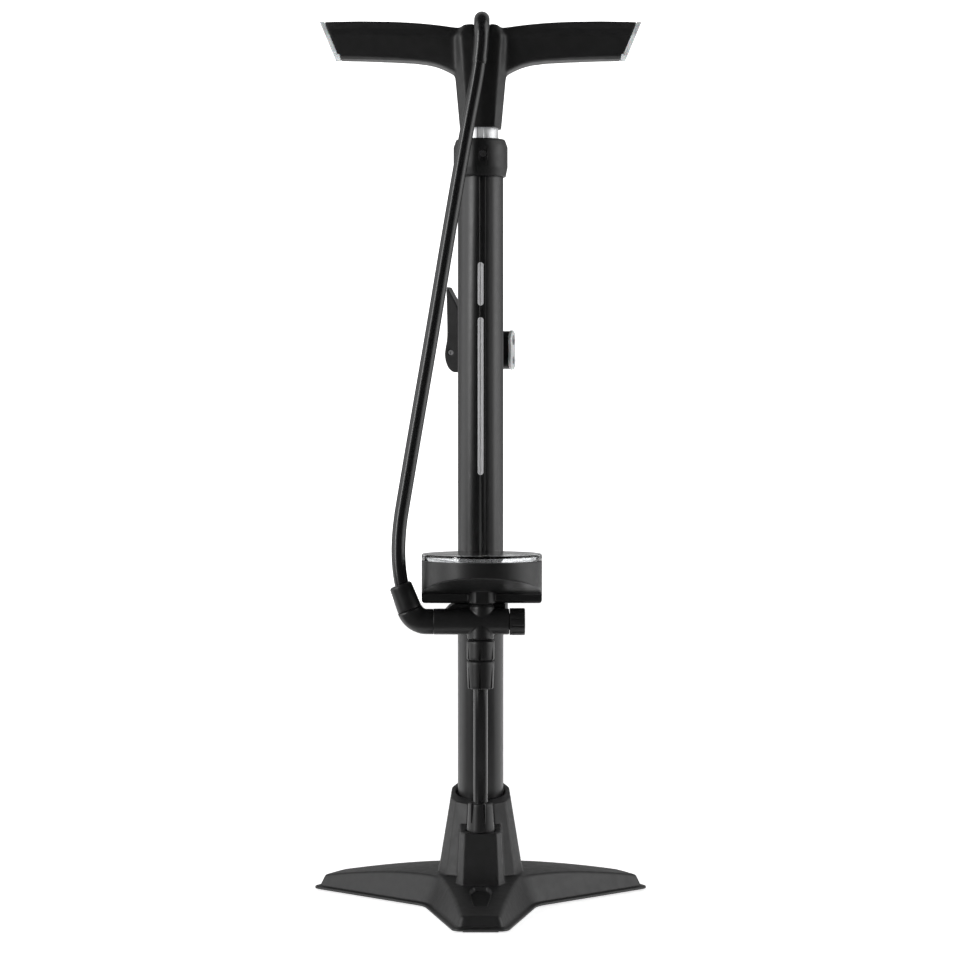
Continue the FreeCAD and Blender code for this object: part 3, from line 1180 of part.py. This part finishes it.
HOSE_BAR = tube_along(HOSE_WIRE, size("hose_r"))
print("hose length", round(HOSE_WIRE.Length, 1), "radii", HOSE_RADII)
print("hose volume over section times length", round(HOSE_BAR.Volume / (math.pi * size("hose_r") ** 2
                                                                       * HOSE_WIRE.Length), 4))
keep(shape_piece("hose_bar", HOSE_BAR), "hose")
keep(shape_piece("sleeve_tube", over_hub(tube_along(HOSE_WIRE, size("sleeve_r"))).cut(
    tube_along(HOSE_WIRE, size("hose_r") + 0.04))), "hose_sleeve")

# ---------------------------------------------------------------- write every piece

doc.recompute()
os.makedirs("parts", exist_ok=True)
for item in doc.Objects:
    if "Invalid" in item.State or "Error" in item.State:
        raise RuntimeError(item.Name + " failed: " + str(item.State))
for piece in made:
    if piece.Shape.isNull() or not piece.Shape.isValid():
        raise RuntimeError(piece.Label + " has no valid shape")
    piece.Shape.exportStep("parts/" + piece.Label + ".step")
print(len(made), "pieces")
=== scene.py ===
"""Looks of the floor-standing air pump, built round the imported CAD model.

Metres, +Z up, the gauge is towards -Y."""

import json
import math

import bmesh
import bpy
from mathutils import Matrix, Vector


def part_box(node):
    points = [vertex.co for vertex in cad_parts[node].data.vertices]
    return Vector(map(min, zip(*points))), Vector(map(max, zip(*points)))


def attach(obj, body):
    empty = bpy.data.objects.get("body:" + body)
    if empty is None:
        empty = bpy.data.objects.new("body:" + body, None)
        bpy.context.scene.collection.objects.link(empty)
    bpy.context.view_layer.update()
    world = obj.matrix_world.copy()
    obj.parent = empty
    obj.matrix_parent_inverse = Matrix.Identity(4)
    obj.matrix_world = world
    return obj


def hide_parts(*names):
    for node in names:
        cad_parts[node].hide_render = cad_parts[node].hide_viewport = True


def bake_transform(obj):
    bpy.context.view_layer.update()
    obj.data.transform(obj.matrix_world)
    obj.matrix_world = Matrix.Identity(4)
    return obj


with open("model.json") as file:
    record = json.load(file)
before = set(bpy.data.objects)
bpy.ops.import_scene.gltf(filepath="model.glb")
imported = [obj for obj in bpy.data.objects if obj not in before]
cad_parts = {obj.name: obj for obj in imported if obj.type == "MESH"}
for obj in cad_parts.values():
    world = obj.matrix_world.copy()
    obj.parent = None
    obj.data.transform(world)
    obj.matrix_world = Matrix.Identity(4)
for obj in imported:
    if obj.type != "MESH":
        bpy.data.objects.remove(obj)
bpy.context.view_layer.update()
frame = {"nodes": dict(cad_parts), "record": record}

MM = 0.001
scene = bpy.context.scene
nodes = frame["nodes"]
bodies = frame["record"]["behaviour"]["bodies"]
body_of_node = {node: body for body, members in bodies.items() for node in members}
slot_of_node = {part["node"]: part["material_slot"] for part in frame["record"]["subparts"]}


# ---------------------------------------------------------------- materials

def new_material(name):
    """A new material with its nodes, its links and its shader."""
    material = bpy.data.materials.new(name)
    material.use_nodes = True
    tree = material.node_tree
    return material, tree.nodes, tree.links, tree.nodes["Principled BSDF"]


def object_point(tree_nodes):
    return tree_nodes.new("ShaderNodeTexCoord").outputs["Object"]


def noise(tree_nodes, links, scale, detail=3.0, roughness=0.55, point=None):
    """A noise texture in object space; scale is features per metre."""
    texture = tree_nodes.new("ShaderNodeTexNoise")
    texture.inputs["Scale"].default_value = scale
    texture.inputs["Detail"].default_value = detail
    texture.inputs["Roughness"].default_value = roughness
    links.new(point or object_point(tree_nodes), texture.inputs["Vector"])
    return texture.outputs["Fac"]


def ramp(tree_nodes, links, value, low, high, start=0.35, end=0.65):
    """Maps a 0 to 1 value to a grey or a colour between low and high."""
    node = tree_nodes.new("ShaderNodeValToRGB")
    node.color_ramp.elements[0].position = start
    node.color_ramp.elements[1].position = end
    for element, colour in zip(node.color_ramp.elements, (low, high)):
        colour = colour if hasattr(colour, "__len__") else (colour, colour, colour)
        element.color = (*colour[:3], 1)
    links.new(value, node.inputs["Fac"])
    return node.outputs["Color"]


def bump(tree_nodes, links, shader, height, strength, distance):
    node = tree_nodes.new("ShaderNodeBump")
    node.inputs["Strength"].default_value = strength
    node.inputs["Distance"].default_value = distance
    links.new(height, node.inputs["Height"])
    links.new(node.outputs["Normal"], shader.inputs["Normal"])


def grained(name, dark, light, rough, grain_scale, grain_strength, grain_depth):
    """A moulded surface: a fine grain, and faint clouding of its colour and of its gloss."""
    material, tree_nodes, links, shader = new_material(name)
    cloud = noise(tree_nodes, links, 45, 4)
    links.new(ramp(tree_nodes, links, cloud, dark, light), shader.inputs["Base Color"])
    gloss = noise(tree_nodes, links, 160, 3)
    links.new(ramp(tree_nodes, links, gloss, rough[0], rough[1]), shader.inputs["Roughness"])
    grain = noise(tree_nodes, links, grain_scale, 2, 0.6)
    bump(tree_nodes, links, shader, grain, grain_strength, grain_depth)
    return material


def flat_material(name, colour, rough, metallic=0.0, specular=0.5, grain_scale=900, grain_strength=0.12):
    """A plain finish with a faint grain."""
    material, tree_nodes, links, shader = new_material(name)
    shader.inputs["Metallic"].default_value = metallic
    shader.inputs["Specular IOR Level"].default_value = specular
    cloud = noise(tree_nodes, links, 60, 3)
    darker = tuple(channel * 0.88 for channel in colour)
    links.new(ramp(tree_nodes, links, cloud, darker, colour), shader.inputs["Base Color"])
    shader.inputs["Roughness"].default_value = rough
    grain = noise(tree_nodes, links, grain_scale, 2)
    bump(tree_nodes, links, shader, grain, grain_strength, 0.00005)
    return material


def combine(tree_nodes, links, operation, first, second):
    """One step of arithmetic on two values, each a number or another node's output."""
    node = tree_nodes.new("ShaderNodeMath")
    node.operation = operation
    for socket, value in zip(node.inputs, (first, second)):
        if hasattr(value, "is_output"):
            links.new(value, socket)
        else:
            socket.default_value = value
    return node.outputs[0]


BAR_HALF_W = 2.2 * MM
BAR_HEIGHTS = ((0.327, 0.447), (0.456, 0.489))


def barrel_material():
    """Black anodised aluminium with two plain printed bars, one above the other, down the front."""
    material, tree_nodes, links, shader = new_material("black anodised")
    point = object_point(tree_nodes)
    axes = tree_nodes.new("ShaderNodeSeparateXYZ")
    links.new(point, axes.inputs[0])
    x, y, z = axes.outputs

    def step(operation, first, second):
        return combine(tree_nodes, links, operation, first, second)

    def bar(low, high):
        """1 inside a bar with rounded ends, on the front half of the barrel."""
        along = step("ABSOLUTE", step("SUBTRACT", z, (low + high) / 2), 0)
        beyond = step("MAXIMUM", step("SUBTRACT", along, (high - low) / 2 - BAR_HALF_W), 0)
        square = step("ADD", step("POWER", step("ABSOLUTE", x, 0), 2), step("POWER", beyond, 2))
        return step("MULTIPLY", step("LESS_THAN", square, BAR_HALF_W ** 2), step("LESS_THAN", y, 0))

    mark = step("MAXIMUM", *(bar(low, high) for low, high in BAR_HEIGHTS))
    base = ramp(tree_nodes, links, noise(tree_nodes, links, 30, 3, point=point), (0.0055, 0.0055, 0.0058),
                (0.0075, 0.0075, 0.0080))
    mix = tree_nodes.new("ShaderNodeMix")
    mix.data_type = "RGBA"
    links.new(mark, mix.inputs["Factor"])
    links.new(base, mix.inputs["A"])
    mix.inputs["B"].default_value = (0.62, 0.62, 0.63, 1)
    links.new(mix.outputs["Result"], shader.inputs["Base Color"])
    gloss = ramp(tree_nodes, links, noise(tree_nodes, links, 220, 3, point=point), 0.35, 0.40)
    links.new(gloss, shader.inputs["Roughness"])
    shader.inputs["Specular IOR Level"].default_value = 0.6
    bump(tree_nodes, links, shader, noise(tree_nodes, links, 2600, 2, point=point), 0.12, 0.00004)
    return material


KNURL_PITCH = 1.7 * MM
KNURL_STEEPNESS = 1.4
KNURL_FROM_X = 36 * MM
KNURL_FROM_Z = 667.5 * MM


def grip_material():
    """Moulded handle plastic: fine grain, and a crossed knurl on the sloped upper facets of the arms."""
    material, tree_nodes, links, shader = new_material("handle plastic")
    point = object_point(tree_nodes)

    def step(operation, first, second):
        return combine(tree_nodes, links, operation, first, second)

    links.new(ramp(tree_nodes, links, noise(tree_nodes, links, 45, 4, point=point), (0.0050, 0.0050, 0.0052),
                   (0.0070, 0.0070, 0.0073)), shader.inputs["Base Color"])
    links.new(ramp(tree_nodes, links, noise(tree_nodes, links, 180, 3, point=point), 0.44, 0.52),
              shader.inputs["Roughness"])
    axes = tree_nodes.new("ShaderNodeSeparateXYZ")
    links.new(point, axes.inputs[0])
    x, _, z = axes.outputs
    across = step("MULTIPLY", x, 2 * math.pi / KNURL_PITCH)
    up = step("MULTIPLY", z, 2 * math.pi / KNURL_PITCH * KNURL_STEEPNESS)
    rising = step("SINE", step("ADD", across, up), 0)
    falling = step("SINE", step("SUBTRACT", across, up), 0)
    knurl = step("MULTIPLY", rising, falling)
    outward = step("GREATER_THAN", step("ABSOLUTE", x, 0), KNURL_FROM_X)
    knurl = step("MULTIPLY", knurl, step("MULTIPLY", outward, step("GREATER_THAN", z, KNURL_FROM_Z)))
    grain = step("MULTIPLY", noise(tree_nodes, links, 2200, 2, 0.6, point), 0.25)
    bump(tree_nodes, links, shader, step("ADD", knurl, grain), 0.35, 0.0003)
    return material


def lens_material():
    """Clear moulded plastic with a faint haze."""
    material, tree_nodes, links, shader = new_material("clear lens")
    shader.inputs["Base Color"].default_value = (0.86, 0.87, 0.88, 1)
    shader.inputs["Transmission Weight"].default_value = 1.0
    shader.inputs["IOR"].default_value = 1.46
    haze = noise(tree_nodes, links, 70, 2)
    links.new(ramp(tree_nodes, links, haze, 0.04, 0.08), shader.inputs["Roughness"])
    return material


def clear_cap_material():
    """Frosted light plastic, for the handle's end caps and the plate round the chuck's ports."""
    material, tree_nodes, links, shader = new_material("frosted light plastic")
    cloud = noise(tree_nodes, links, 90, 3)
    tone = ramp(tree_nodes, links, cloud, (0.50, 0.52, 0.53), (0.60, 0.62, 0.63))
    links.new(tone, shader.inputs["Base Color"])
    shader.inputs["Roughness"].default_value = 0.32
    shader.inputs["Coat Weight"].default_value = 0.3
    shader.inputs["Subsurface Weight"].default_value = 0.15
    shader.inputs["Subsurface Scale"].default_value = 0.002
    bump(tree_nodes, links, shader, noise(tree_nodes, links, 1500, 2), 0.08, 0.00005)
    return material


MATERIALS = {
    "base_plastic": grained("base plastic", (0.0060, 0.0060, 0.0062), (0.0085, 0.0085, 0.0089), (0.44, 0.51),
                            2600, 0.30, 0.00012),
    "grip_plastic": grip_material(),
    "moulded_plastic": grained("moulded plastic", (0.0048, 0.0048, 0.0050), (0.0066, 0.0066, 0.0069),
                               (0.36, 0.43), 2400, 0.16, 0.00008),
    "cap_plastic": grained("cap plastic", (0.0050, 0.0050, 0.0052), (0.0066, 0.0066, 0.0069), (0.40, 0.47),
                           2400, 0.22, 0.0001),
    "barrel_paint": barrel_material(),
    "silver_metal": flat_material("satin aluminium", (0.80, 0.81, 0.82), 0.42, metallic=0.55),
    "light_plastic": clear_cap_material(),
    "hose_rubber": flat_material("hose rubber", (0.0065, 0.0065, 0.0068), 0.26),
    "seal_rubber": flat_material("seal rubber", (0.014, 0.014, 0.014), 0.5),
    "pad_rubber": flat_material("foot rubber", (0.011, 0.011, 0.011), 0.75),
    "clear_lens": lens_material(),
    "dial_face": flat_material("dial face", (0.02, 0.02, 0.022), 0.45),
    "needle_paint": flat_material("needle white", (0.62, 0.62, 0.60), 0.35),
    "brass": flat_material("brass", (0.62, 0.43, 0.17), 0.3, metallic=1.0),
    "steel": flat_material("steel", (0.42, 0.42, 0.43), 0.32, metallic=1.0),
    "bearing_plastic": flat_material("bearing plastic", (0.62, 0.60, 0.55), 0.4),
}
WHITE_PRINT = flat_material("white print", (0.7, 0.71, 0.72), 0.5)
BLACK_SCREW = flat_material("blackened steel", (0.03, 0.03, 0.032), 0.34, metallic=0.8)


# ---------------------------------------------------------------- mesh helpers

def dress(obj, material):
    obj.data.materials.clear()
    obj.data.materials.append(material)
    return obj


SHARP_FROM = math.radians(35)
BEVEL_FROM = math.radians(32)
WELD_REACH = 1e-6


def weld(obj):
    """The CAD meshes come with each face's own points, so the points that meet are joined first."""
    obj.modifiers.new("weld", "WELD").merge_threshold = WELD_REACH


def bevel(obj, width):
    weld(obj)
    rounding = obj.modifiers.new("bevel", "BEVEL")
    rounding.width = width
    rounding.segments = 3
    rounding.limit_method = "ANGLE"
    rounding.angle_limit = BEVEL_FROM
    rounding.harden_normals = True
    rounding.use_clamp_overlap = True


def carry(node, width=0.0, material=None):
    """Shows a CAD node as it is, with its finish and, if width isn't 0, with rounded edges."""
    obj = dress(nodes[node], material or MATERIALS[slot_of_node[node]])
    obj.data.shade_smooth()
    obj.data.set_sharp_from_angle(angle=SHARP_FROM)
    if width:
        bevel(obj, width)


def claim(obj, node):
    """A new piece takes the place of a CAD node and moves with its body."""
    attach(obj, body_of_node[node])
    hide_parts(node)


def add_object(name, mesh):
    obj = bpy.data.objects.new(name, mesh)
    scene.collection.objects.link(obj)
    return obj


def evaluated_mesh(obj):
    """A new mesh with the object's modifiers applied."""
    bpy.context.view_layer.update()
    graph = bpy.context.evaluated_depsgraph_get()
    return bpy.data.meshes.new_from_object(obj.evaluated_get(graph), depsgraph=graph)


def moulded(node, voxel, rounds, keep=0.4, melt=None, melt_rounds=0):
    """A copy of a CAD node with its edges softened, as a moulding's are, and thinned to a share of its faces.

    melt(point) is how much a spot takes part, from 0 to 1, in the further rounds that blend its corners."""
    copy = add_object(node + "_moulded", nodes[node].data.copy())
    weld(copy)
    remesh = copy.modifiers.new("remesh", "REMESH")
    remesh.mode = "VOXEL"
    remesh.voxel_size = voxel
    copy.data = evaluated_mesh(copy)
    copy.modifiers.clear()
    if melt:
        soft = copy.vertex_groups.new(name="melt")
        for vertex in copy.data.vertices:
            share = melt(vertex.co)
            if share > 0:
                soft.add([vertex.index], share, "REPLACE")
        blend = copy.modifiers.new("blend", "SMOOTH")
        blend.iterations = melt_rounds
        blend.factor = 0.5
        blend.vertex_group = "melt"
    relax = copy.modifiers.new("relax", "SMOOTH")
    relax.iterations = rounds
    relax.factor = 0.5
    thin = copy.modifiers.new("thin", "DECIMATE")
    thin.ratio = keep
    copy.data = evaluated_mesh(copy)
    copy.modifiers.clear()
    copy.vertex_groups.clear()
    dress(copy, MATERIALS[slot_of_node[node]])
    copy.data.shade_smooth()
    claim(copy, node)


SPUN_STEPS = 96
TUBE_SIDES = 32
TUBE_SHARP_FROM = math.radians(50)


def spun(name, profile):
    """A turned solid about Z from the (radius, height) pairs of its closed outline."""
    mesh = bpy.data.meshes.new(name)
    shape = bmesh.new()
    rings = []
    for step in range(SPUN_STEPS):
        angle = 2 * math.pi * step / SPUN_STEPS
        rings.append([shape.verts.new((r * math.cos(angle), r * math.sin(angle), z)) for r, z in profile])
    for here, there in zip(rings, rings[1:] + rings[:1]):
        for n in range(len(profile)):
            m = (n + 1) % len(profile)
            shape.faces.new((here[n], there[n], there[m], here[m]))
    bmesh.ops.remove_doubles(shape, verts=shape.verts, dist=1e-7)
    bmesh.ops.recalc_face_normals(shape, faces=shape.faces)
    shape.to_mesh(mesh)
    shape.free()
    return add_object(name, mesh)


def swept(name, points, radius_at):
    """A round mesh tube along points, with closed ends; radius_at(share of length) gives its radius."""
    lengths = [0.0]
    for first, second in zip(points, points[1:]):
        lengths.append(lengths[-1] + (second - first).length)
    shape = bmesh.new()
    side = Vector((1, 0, 0))
    rings = []
    for number, point in enumerate(points):
        ahead = points[min(number + 1, len(points) - 1)] - points[max(number - 1, 0)]
        ahead.normalize()
        side = (side - ahead * side.dot(ahead)).normalized()
        other = ahead.cross(side)
        radius = radius_at(lengths[number] / lengths[-1])
        rings.append([shape.verts.new(point + (side * math.cos(a) + other * math.sin(a)) * radius)
                      for a in (2 * math.pi * k / TUBE_SIDES for k in range(TUBE_SIDES))])
    for here, there in zip(rings, rings[1:]):
        for k in range(TUBE_SIDES):
            m = (k + 1) % TUBE_SIDES
            shape.faces.new((here[k], here[m], there[m], there[k]))
    shape.faces.new(list(reversed(rings[0])))
    shape.faces.new(rings[-1])
    mesh = bpy.data.meshes.new(name)
    shape.to_mesh(mesh)
    shape.free()
    mesh.shade_smooth()
    mesh.set_sharp_from_angle(angle=TUBE_SHARP_FROM)
    return add_object(name, mesh)


def spline_points(route):
    """Points along the smooth NURBS line that a route's corners control."""
    curve = bpy.data.curves.new("route", "CURVE")
    curve.dimensions = "3D"
    curve.resolution_u = 20
    spline = curve.splines.new("NURBS")
    spline.points.add(len(route) - 1)
    for control, corner in zip(spline.points, route):
        control.co = (*corner, 1)
    spline.order_u = 3
    spline.use_endpoint_u = True
    line = add_object("route", curve)
    mesh = evaluated_mesh(line)
    points = [vertex.co.copy() for vertex in mesh.vertices]
    bpy.data.objects.remove(line)
    return points


# ---------------------------------------------------------------- base, barrel and cap

moulded("base_foot", 0.0006, 9, 0.25)
carry("foot_pads", 0.0006)
carry("base_screws", 0.0003, BLACK_SCREW)
for hidden in ("bottom_plug", "piston_head"):
    carry(hidden, 0.0003)
for plain in ("plug_ring", "valve_spring", "valve_poppet", "base_barb", "union_barb", "guide_bush",
              "rod_wiper", "cup_seal", "piston_pin", "top_bumper", "spindle_ring", "wide_valve_seal",
              "narrow_valve_seal", "gauge_socket", "bourdon_tube", "gauge_movement", "sector_gear",
              "needle_pinion"):
    carry(plain)
carry("selector_spindle", 0.0, MATERIALS["moulded_plastic"])
carry("barrel_tube", 0.0003)
carry("top_cap", 0.0004)
carry("cap_screws", 0.0002, MATERIALS["steel"])
carry("piston_tube", 0.0003)

# ---------------------------------------------------------------- handle

GROOVE_X = 1 * MM


def hub_melt(point):
    """The arms flow into the hub; the hose's groove and the hub's foot stay crisp."""
    near_hub = min(max((62 * MM - abs(point.x)) / (22 * MM), 0), 1)
    beside_hose = min(max((abs(point.x - GROOVE_X) - 7 * MM) / (4 * MM), 0.2), 1)
    above_foot = min(max((point.z - 600 * MM) / (20 * MM), 0), 1)
    return near_hub * beside_hose * above_foot


moulded("handle_grip", 0.0006, 9, 0.3, hub_melt, 90)
for cap in ("end_cap_left", "end_cap_right"):
    carry(cap, 0.0008)
carry("handle_pin", 0.0003, BLACK_SCREW)

# ---------------------------------------------------------------- manifold, gauge and feed line

moulded("manifold_body", 0.0005, 4)
moulded("gauge_housing", 0.0005, 4)
for nut in ("base_nut", "riser_nut", "union_nut", "hose_collar", "elbow", "selector_knob", "clamp_back"):
    carry(nut, 0.0003)
carry("clamp_screws", 0.0002, BLACK_SCREW)
carry("riser_hose")
carry("gauge_lens", 0.0005)
carry("gauge_dial")
carry("gauge_needle")


DIAL_START = 225.0
DIAL_SWEEP = 270.0
MAJOR_STEPS = 8
MINORS_PER_MAJOR = 4
NUMBER_STEP = 20
NUMBER_RADIUS = 27.5 * MM
NUMBER_SIZE = 7.5 * MM
TICK_OUTER = 39.5 * MM
MAJOR_TICK = (33.5 * MM, 0.55 * MM)
MINOR_TICK = (36.8 * MM, 0.25 * MM)
PRINT_LIFT = 0.05 * MM
PRINT_T = 0.1 * MM


def dial_ticks(middle):
    """Long and short ticks, each from its inner radius and half its width."""
    shape = bmesh.new()
    for number in range(MAJOR_STEPS * MINORS_PER_MAJOR + 1):
        inner, half = MINOR_TICK if number % MINORS_PER_MAJOR else MAJOR_TICK
        angle = math.radians(DIAL_START - DIAL_SWEEP * number / (MAJOR_STEPS * MINORS_PER_MAJOR))
        turn = Matrix.Rotation(angle, 3, "Z")
        corners = ((inner, -half), (TICK_OUTER, -half), (TICK_OUTER, half), (inner, half))
        face = shape.faces.new([shape.verts.new(middle + turn @ Vector((x, y, 0))) for x, y in corners])
        bmesh.ops.extrude_face_region(shape, geom=[face])
    mesh = bpy.data.meshes.new("dial_ticks")
    shape.to_mesh(mesh)
    shape.free()
    ticks = add_object("dial_ticks", mesh)
    ticks.modifiers.new("thick", "SOLIDIFY").thickness = PRINT_T
    return ticks


def dial_number(middle, number):
    """A plain number at one of the long ticks."""
    text = bpy.data.curves.new("dial_number", "FONT")
    text.body = str(number * NUMBER_STEP)
    text.size = NUMBER_SIZE
    text.align_x = "CENTER"
    text.align_y = "CENTER"
    text.extrude = PRINT_T / 2
    letter = add_object("dial_number_" + text.body, text)
    angle = math.radians(DIAL_START - DIAL_SWEEP * number / MAJOR_STEPS)
    letter.location = middle + Vector((math.cos(angle), math.sin(angle), 0)) * NUMBER_RADIUS
    mesh = evaluated_mesh(letter)
    mesh.transform(letter.matrix_world)
    solid = add_object(letter.name + "_mesh", mesh)
    bpy.data.objects.remove(letter)
    return solid


def dial_marks():
    """Ticks and plain numbers on the dial, over three quarters of a turn."""
    low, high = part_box("gauge_dial")
    middle = Vector(((low.x + high.x) / 2, (low.y + high.y) / 2, high.z + PRINT_LIFT))
    for part in [dial_ticks(middle)] + [dial_number(middle, number) for number in range(MAJOR_STEPS + 1)]:
        dress(part, WHITE_PRINT)
        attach(part, "stand")


dial_marks()

# ---------------------------------------------------------------- chuck

moulded("chuck_body", 0.00035, 3)
moulded("chuck_lever", 0.00035, 6)
carry("chuck_port_face", 0.0003)
moulded("chuck_clip", 0.0004, 3)
carry("chuck_ferrule", 0.0004)
carry("lever_pin")

# ---------------------------------------------------------------- hose over the handle

HOSE_ROUTE = [(-0.0550, -0.0640, 0.2333), (-0.0655, -0.0640, 0.2607), (-0.0516, -0.0556, 0.3450),
              (-0.0367, -0.0463, 0.4320), (-0.0240, -0.0386, 0.5100), (-0.0120, -0.0322, 0.5800),
              (0.0003, -0.0268, 0.6440), (0.0010, -0.0266, 0.6754), (0.0010, 0.0266, 0.6754),
              (0.0006, 0.0266, 0.5750), (0.0033, 0.0323, 0.4840), (0.0033, 0.0323, 0.4411)]
HOSE_R = 5.3 * MM
SLEEVE_R = 5.95 * MM
SLEEVE_LOW = 638 * MM
hose_points = spline_points(HOSE_ROUTE)
hose = dress(swept("hose_line", hose_points, lambda share: HOSE_R), MATERIALS["hose_rubber"])

sleeve_points = [point for point in hose_points if point.z > SLEEVE_LOW]


SLEEVE_END_SHARE = 0.012
SLEEVE_END_DROP = 0.6 * MM


def sleeve_radius(share):
    """The sleeve's ends are rounded over their last percent or so."""
    inward = min(share, 1 - share) / SLEEVE_END_SHARE
    return SLEEVE_R - SLEEVE_END_DROP * max(0.0, 1 - inward) ** 2


sleeve = dress(swept("sleeve_line", sleeve_points, sleeve_radius), MATERIALS["hose_rubber"])

# The swept hose and sleeve take the place of the CAD hose and sleeve, with their placing baked into their
# points.
# They are attached to no body.
for piece, node in ((hose, "hose"), (sleeve, "hose_sleeve")):
    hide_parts(node)
    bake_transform(piece)

# ---------------------------------------------------------------- floor, light and camera

scene.view_settings.view_transform = "Standard"


def glowing(name, colour, rough, specular, strength, **grain):
    """A plain finish that gives off a little white light of its own."""
    material = flat_material(name, colour, rough, specular=specular, **grain)
    shader = material.node_tree.nodes["Principled BSDF"].inputs
    shader["Emission Color"].default_value = (1, 1, 1, 1)
    shader["Emission Strength"].default_value = strength
    return material


def black_cloth(name, strength):
    return glowing(name, (0.01, 0.01, 0.01), 0.9, 0.0, strength)


def hide_from_camera(obj):
    """Studio cloth only sets what the object's surfaces reflect."""
    obj.visible_camera = False
    obj.visible_shadow = False
    obj.visible_transmission = False
    return obj


FLOOR_R = 8.0
FLOOR_T = 0.01
FLOOR_TOP = -0.2 * MM
FLOOR_GLOW = 0.75
floor_outline = [(0, FLOOR_TOP), (FLOOR_R, FLOOR_TOP), (FLOOR_R, -FLOOR_T), (0, -FLOOR_T)]
floor_finish = glowing("floor", (0.80, 0.80, 0.80), 0.9, 0.1, FLOOR_GLOW, grain_scale=40, grain_strength=0.02)
dress(spun("floor", floor_outline), floor_finish)

STUDIO_R = 3.4
DOME_MIDDLE_Z = 0.35
DOME_ROWS = 20
DOME_COLUMN_DEG = 6


def dome_part(name, low, high, from_front, to_front, glow):
    """Part of a cloth dome, between two heights and two angles from the front, on both sides."""
    shape = bmesh.new()
    columns = round((to_front - from_front) / DOME_COLUMN_DEG)
    for side in (-1, 1):
        grid = []
        for row in range(DOME_ROWS + 1):
            height = math.radians(low + (high - low) * row / DOME_ROWS)
            ring = []
            for column in range(columns + 1):
                turn = from_front + (to_front - from_front) * column / columns
                azimuth = side * math.radians(turn) - math.pi / 2
                ring.append(shape.verts.new((STUDIO_R * math.cos(azimuth) * math.cos(height),
                                             STUDIO_R * math.sin(azimuth) * math.cos(height),
                                             DOME_MIDDLE_Z + STUDIO_R * math.sin(height))))
            grid.append(ring)
        for lower, upper in zip(grid, grid[1:]):
            for k in range(columns):
                shape.faces.new((lower[k], lower[k + 1], upper[k + 1], upper[k]))
    mesh = bpy.data.meshes.new(name)
    shape.to_mesh(mesh)
    shape.free()
    hide_from_camera(dress(add_object(name, mesh), black_cloth(name + " cloth", glow)))


dome_part("front", -9, 52, 0, 54, 0.0)
dome_part("roof", 52, 89, 0, 180, 0.06)
dome_part("back", -9, 52, 116, 180, 0.35)

MAT_STEPS = 40
MAT_SPREAD = 85
MAT_INNER_R = 0.2
MAT_Z = 0.5 * MM
MAT_GLOW = 0.10


def dark_mat():
    """A dark cloth on the floor in front, seen only in the glossy reflections of the lower surfaces."""
    shape = bmesh.new()
    inner, outer = [], []
    for step in range(MAT_STEPS + 1):
        angle = math.radians(-90 - MAT_SPREAD + 2 * MAT_SPREAD * step / MAT_STEPS)
        for ring, reach in ((inner, MAT_INNER_R), (outer, STUDIO_R)):
            ring.append(shape.verts.new((reach * math.cos(angle), reach * math.sin(angle), MAT_Z)))
    for k in range(MAT_STEPS):
        shape.faces.new((inner[k], inner[k + 1], outer[k + 1], outer[k]))
    mesh = bpy.data.meshes.new("dark_mat")
    shape.to_mesh(mesh)
    shape.free()
    mat = hide_from_camera(dress(add_object("dark_mat", mesh), black_cloth("dark mat", MAT_GLOW)))
    mat.visible_diffuse = False


dark_mat()

STRIP_SIZE = (0.35, 1.7)


def strip_light(name, location, aim_z, power):
    """A tall soft lamp that looks at a height on the object's axis."""
    light = bpy.data.lights.new(name, "AREA")
    light.shape = "RECTANGLE"
    light.size, light.size_y = STRIP_SIZE
    light.energy = power
    lamp = add_object(name, light)
    lamp.location = location
    lamp.rotation_euler = (Vector((0, 0, aim_z)) - Vector(location)).to_track_quat("-Z", "Y").to_euler()


strip_light("left_strip", (-1.9, -1.5, 0.9), 0.40, 24)
strip_light("right_strip", (2.4, -0.3, 0.9), 0.36, 6)

world = bpy.data.worlds.new("studio")
world.use_nodes = True
sky = world.node_tree.nodes["Background"].inputs
sky["Color"].default_value = (1, 1, 1, 1)
sky["Strength"].default_value = 1.65
scene.world = world

SENSOR_MM = 36.0
FRAME_PX = 960.0
FOCAL_PX = 2866.5
CAMERA_AT = (-0.00045, -2.20045, 0.37759)
CAMERA_DOWN_DEG = 0.470
camera_data = bpy.data.cameras.new("camera")
camera_data.sensor_width = SENSOR_MM
camera_data.lens = FOCAL_PX / FRAME_PX * SENSOR_MM
camera_data.shift_y = -0.05
camera_data.clip_end = 50
camera = add_object("camera", camera_data)
camera.location = CAMERA_AT
camera.rotation_euler = (math.radians(90 - CAMERA_DOWN_DEG), 0, 0)
scene.camera = camera
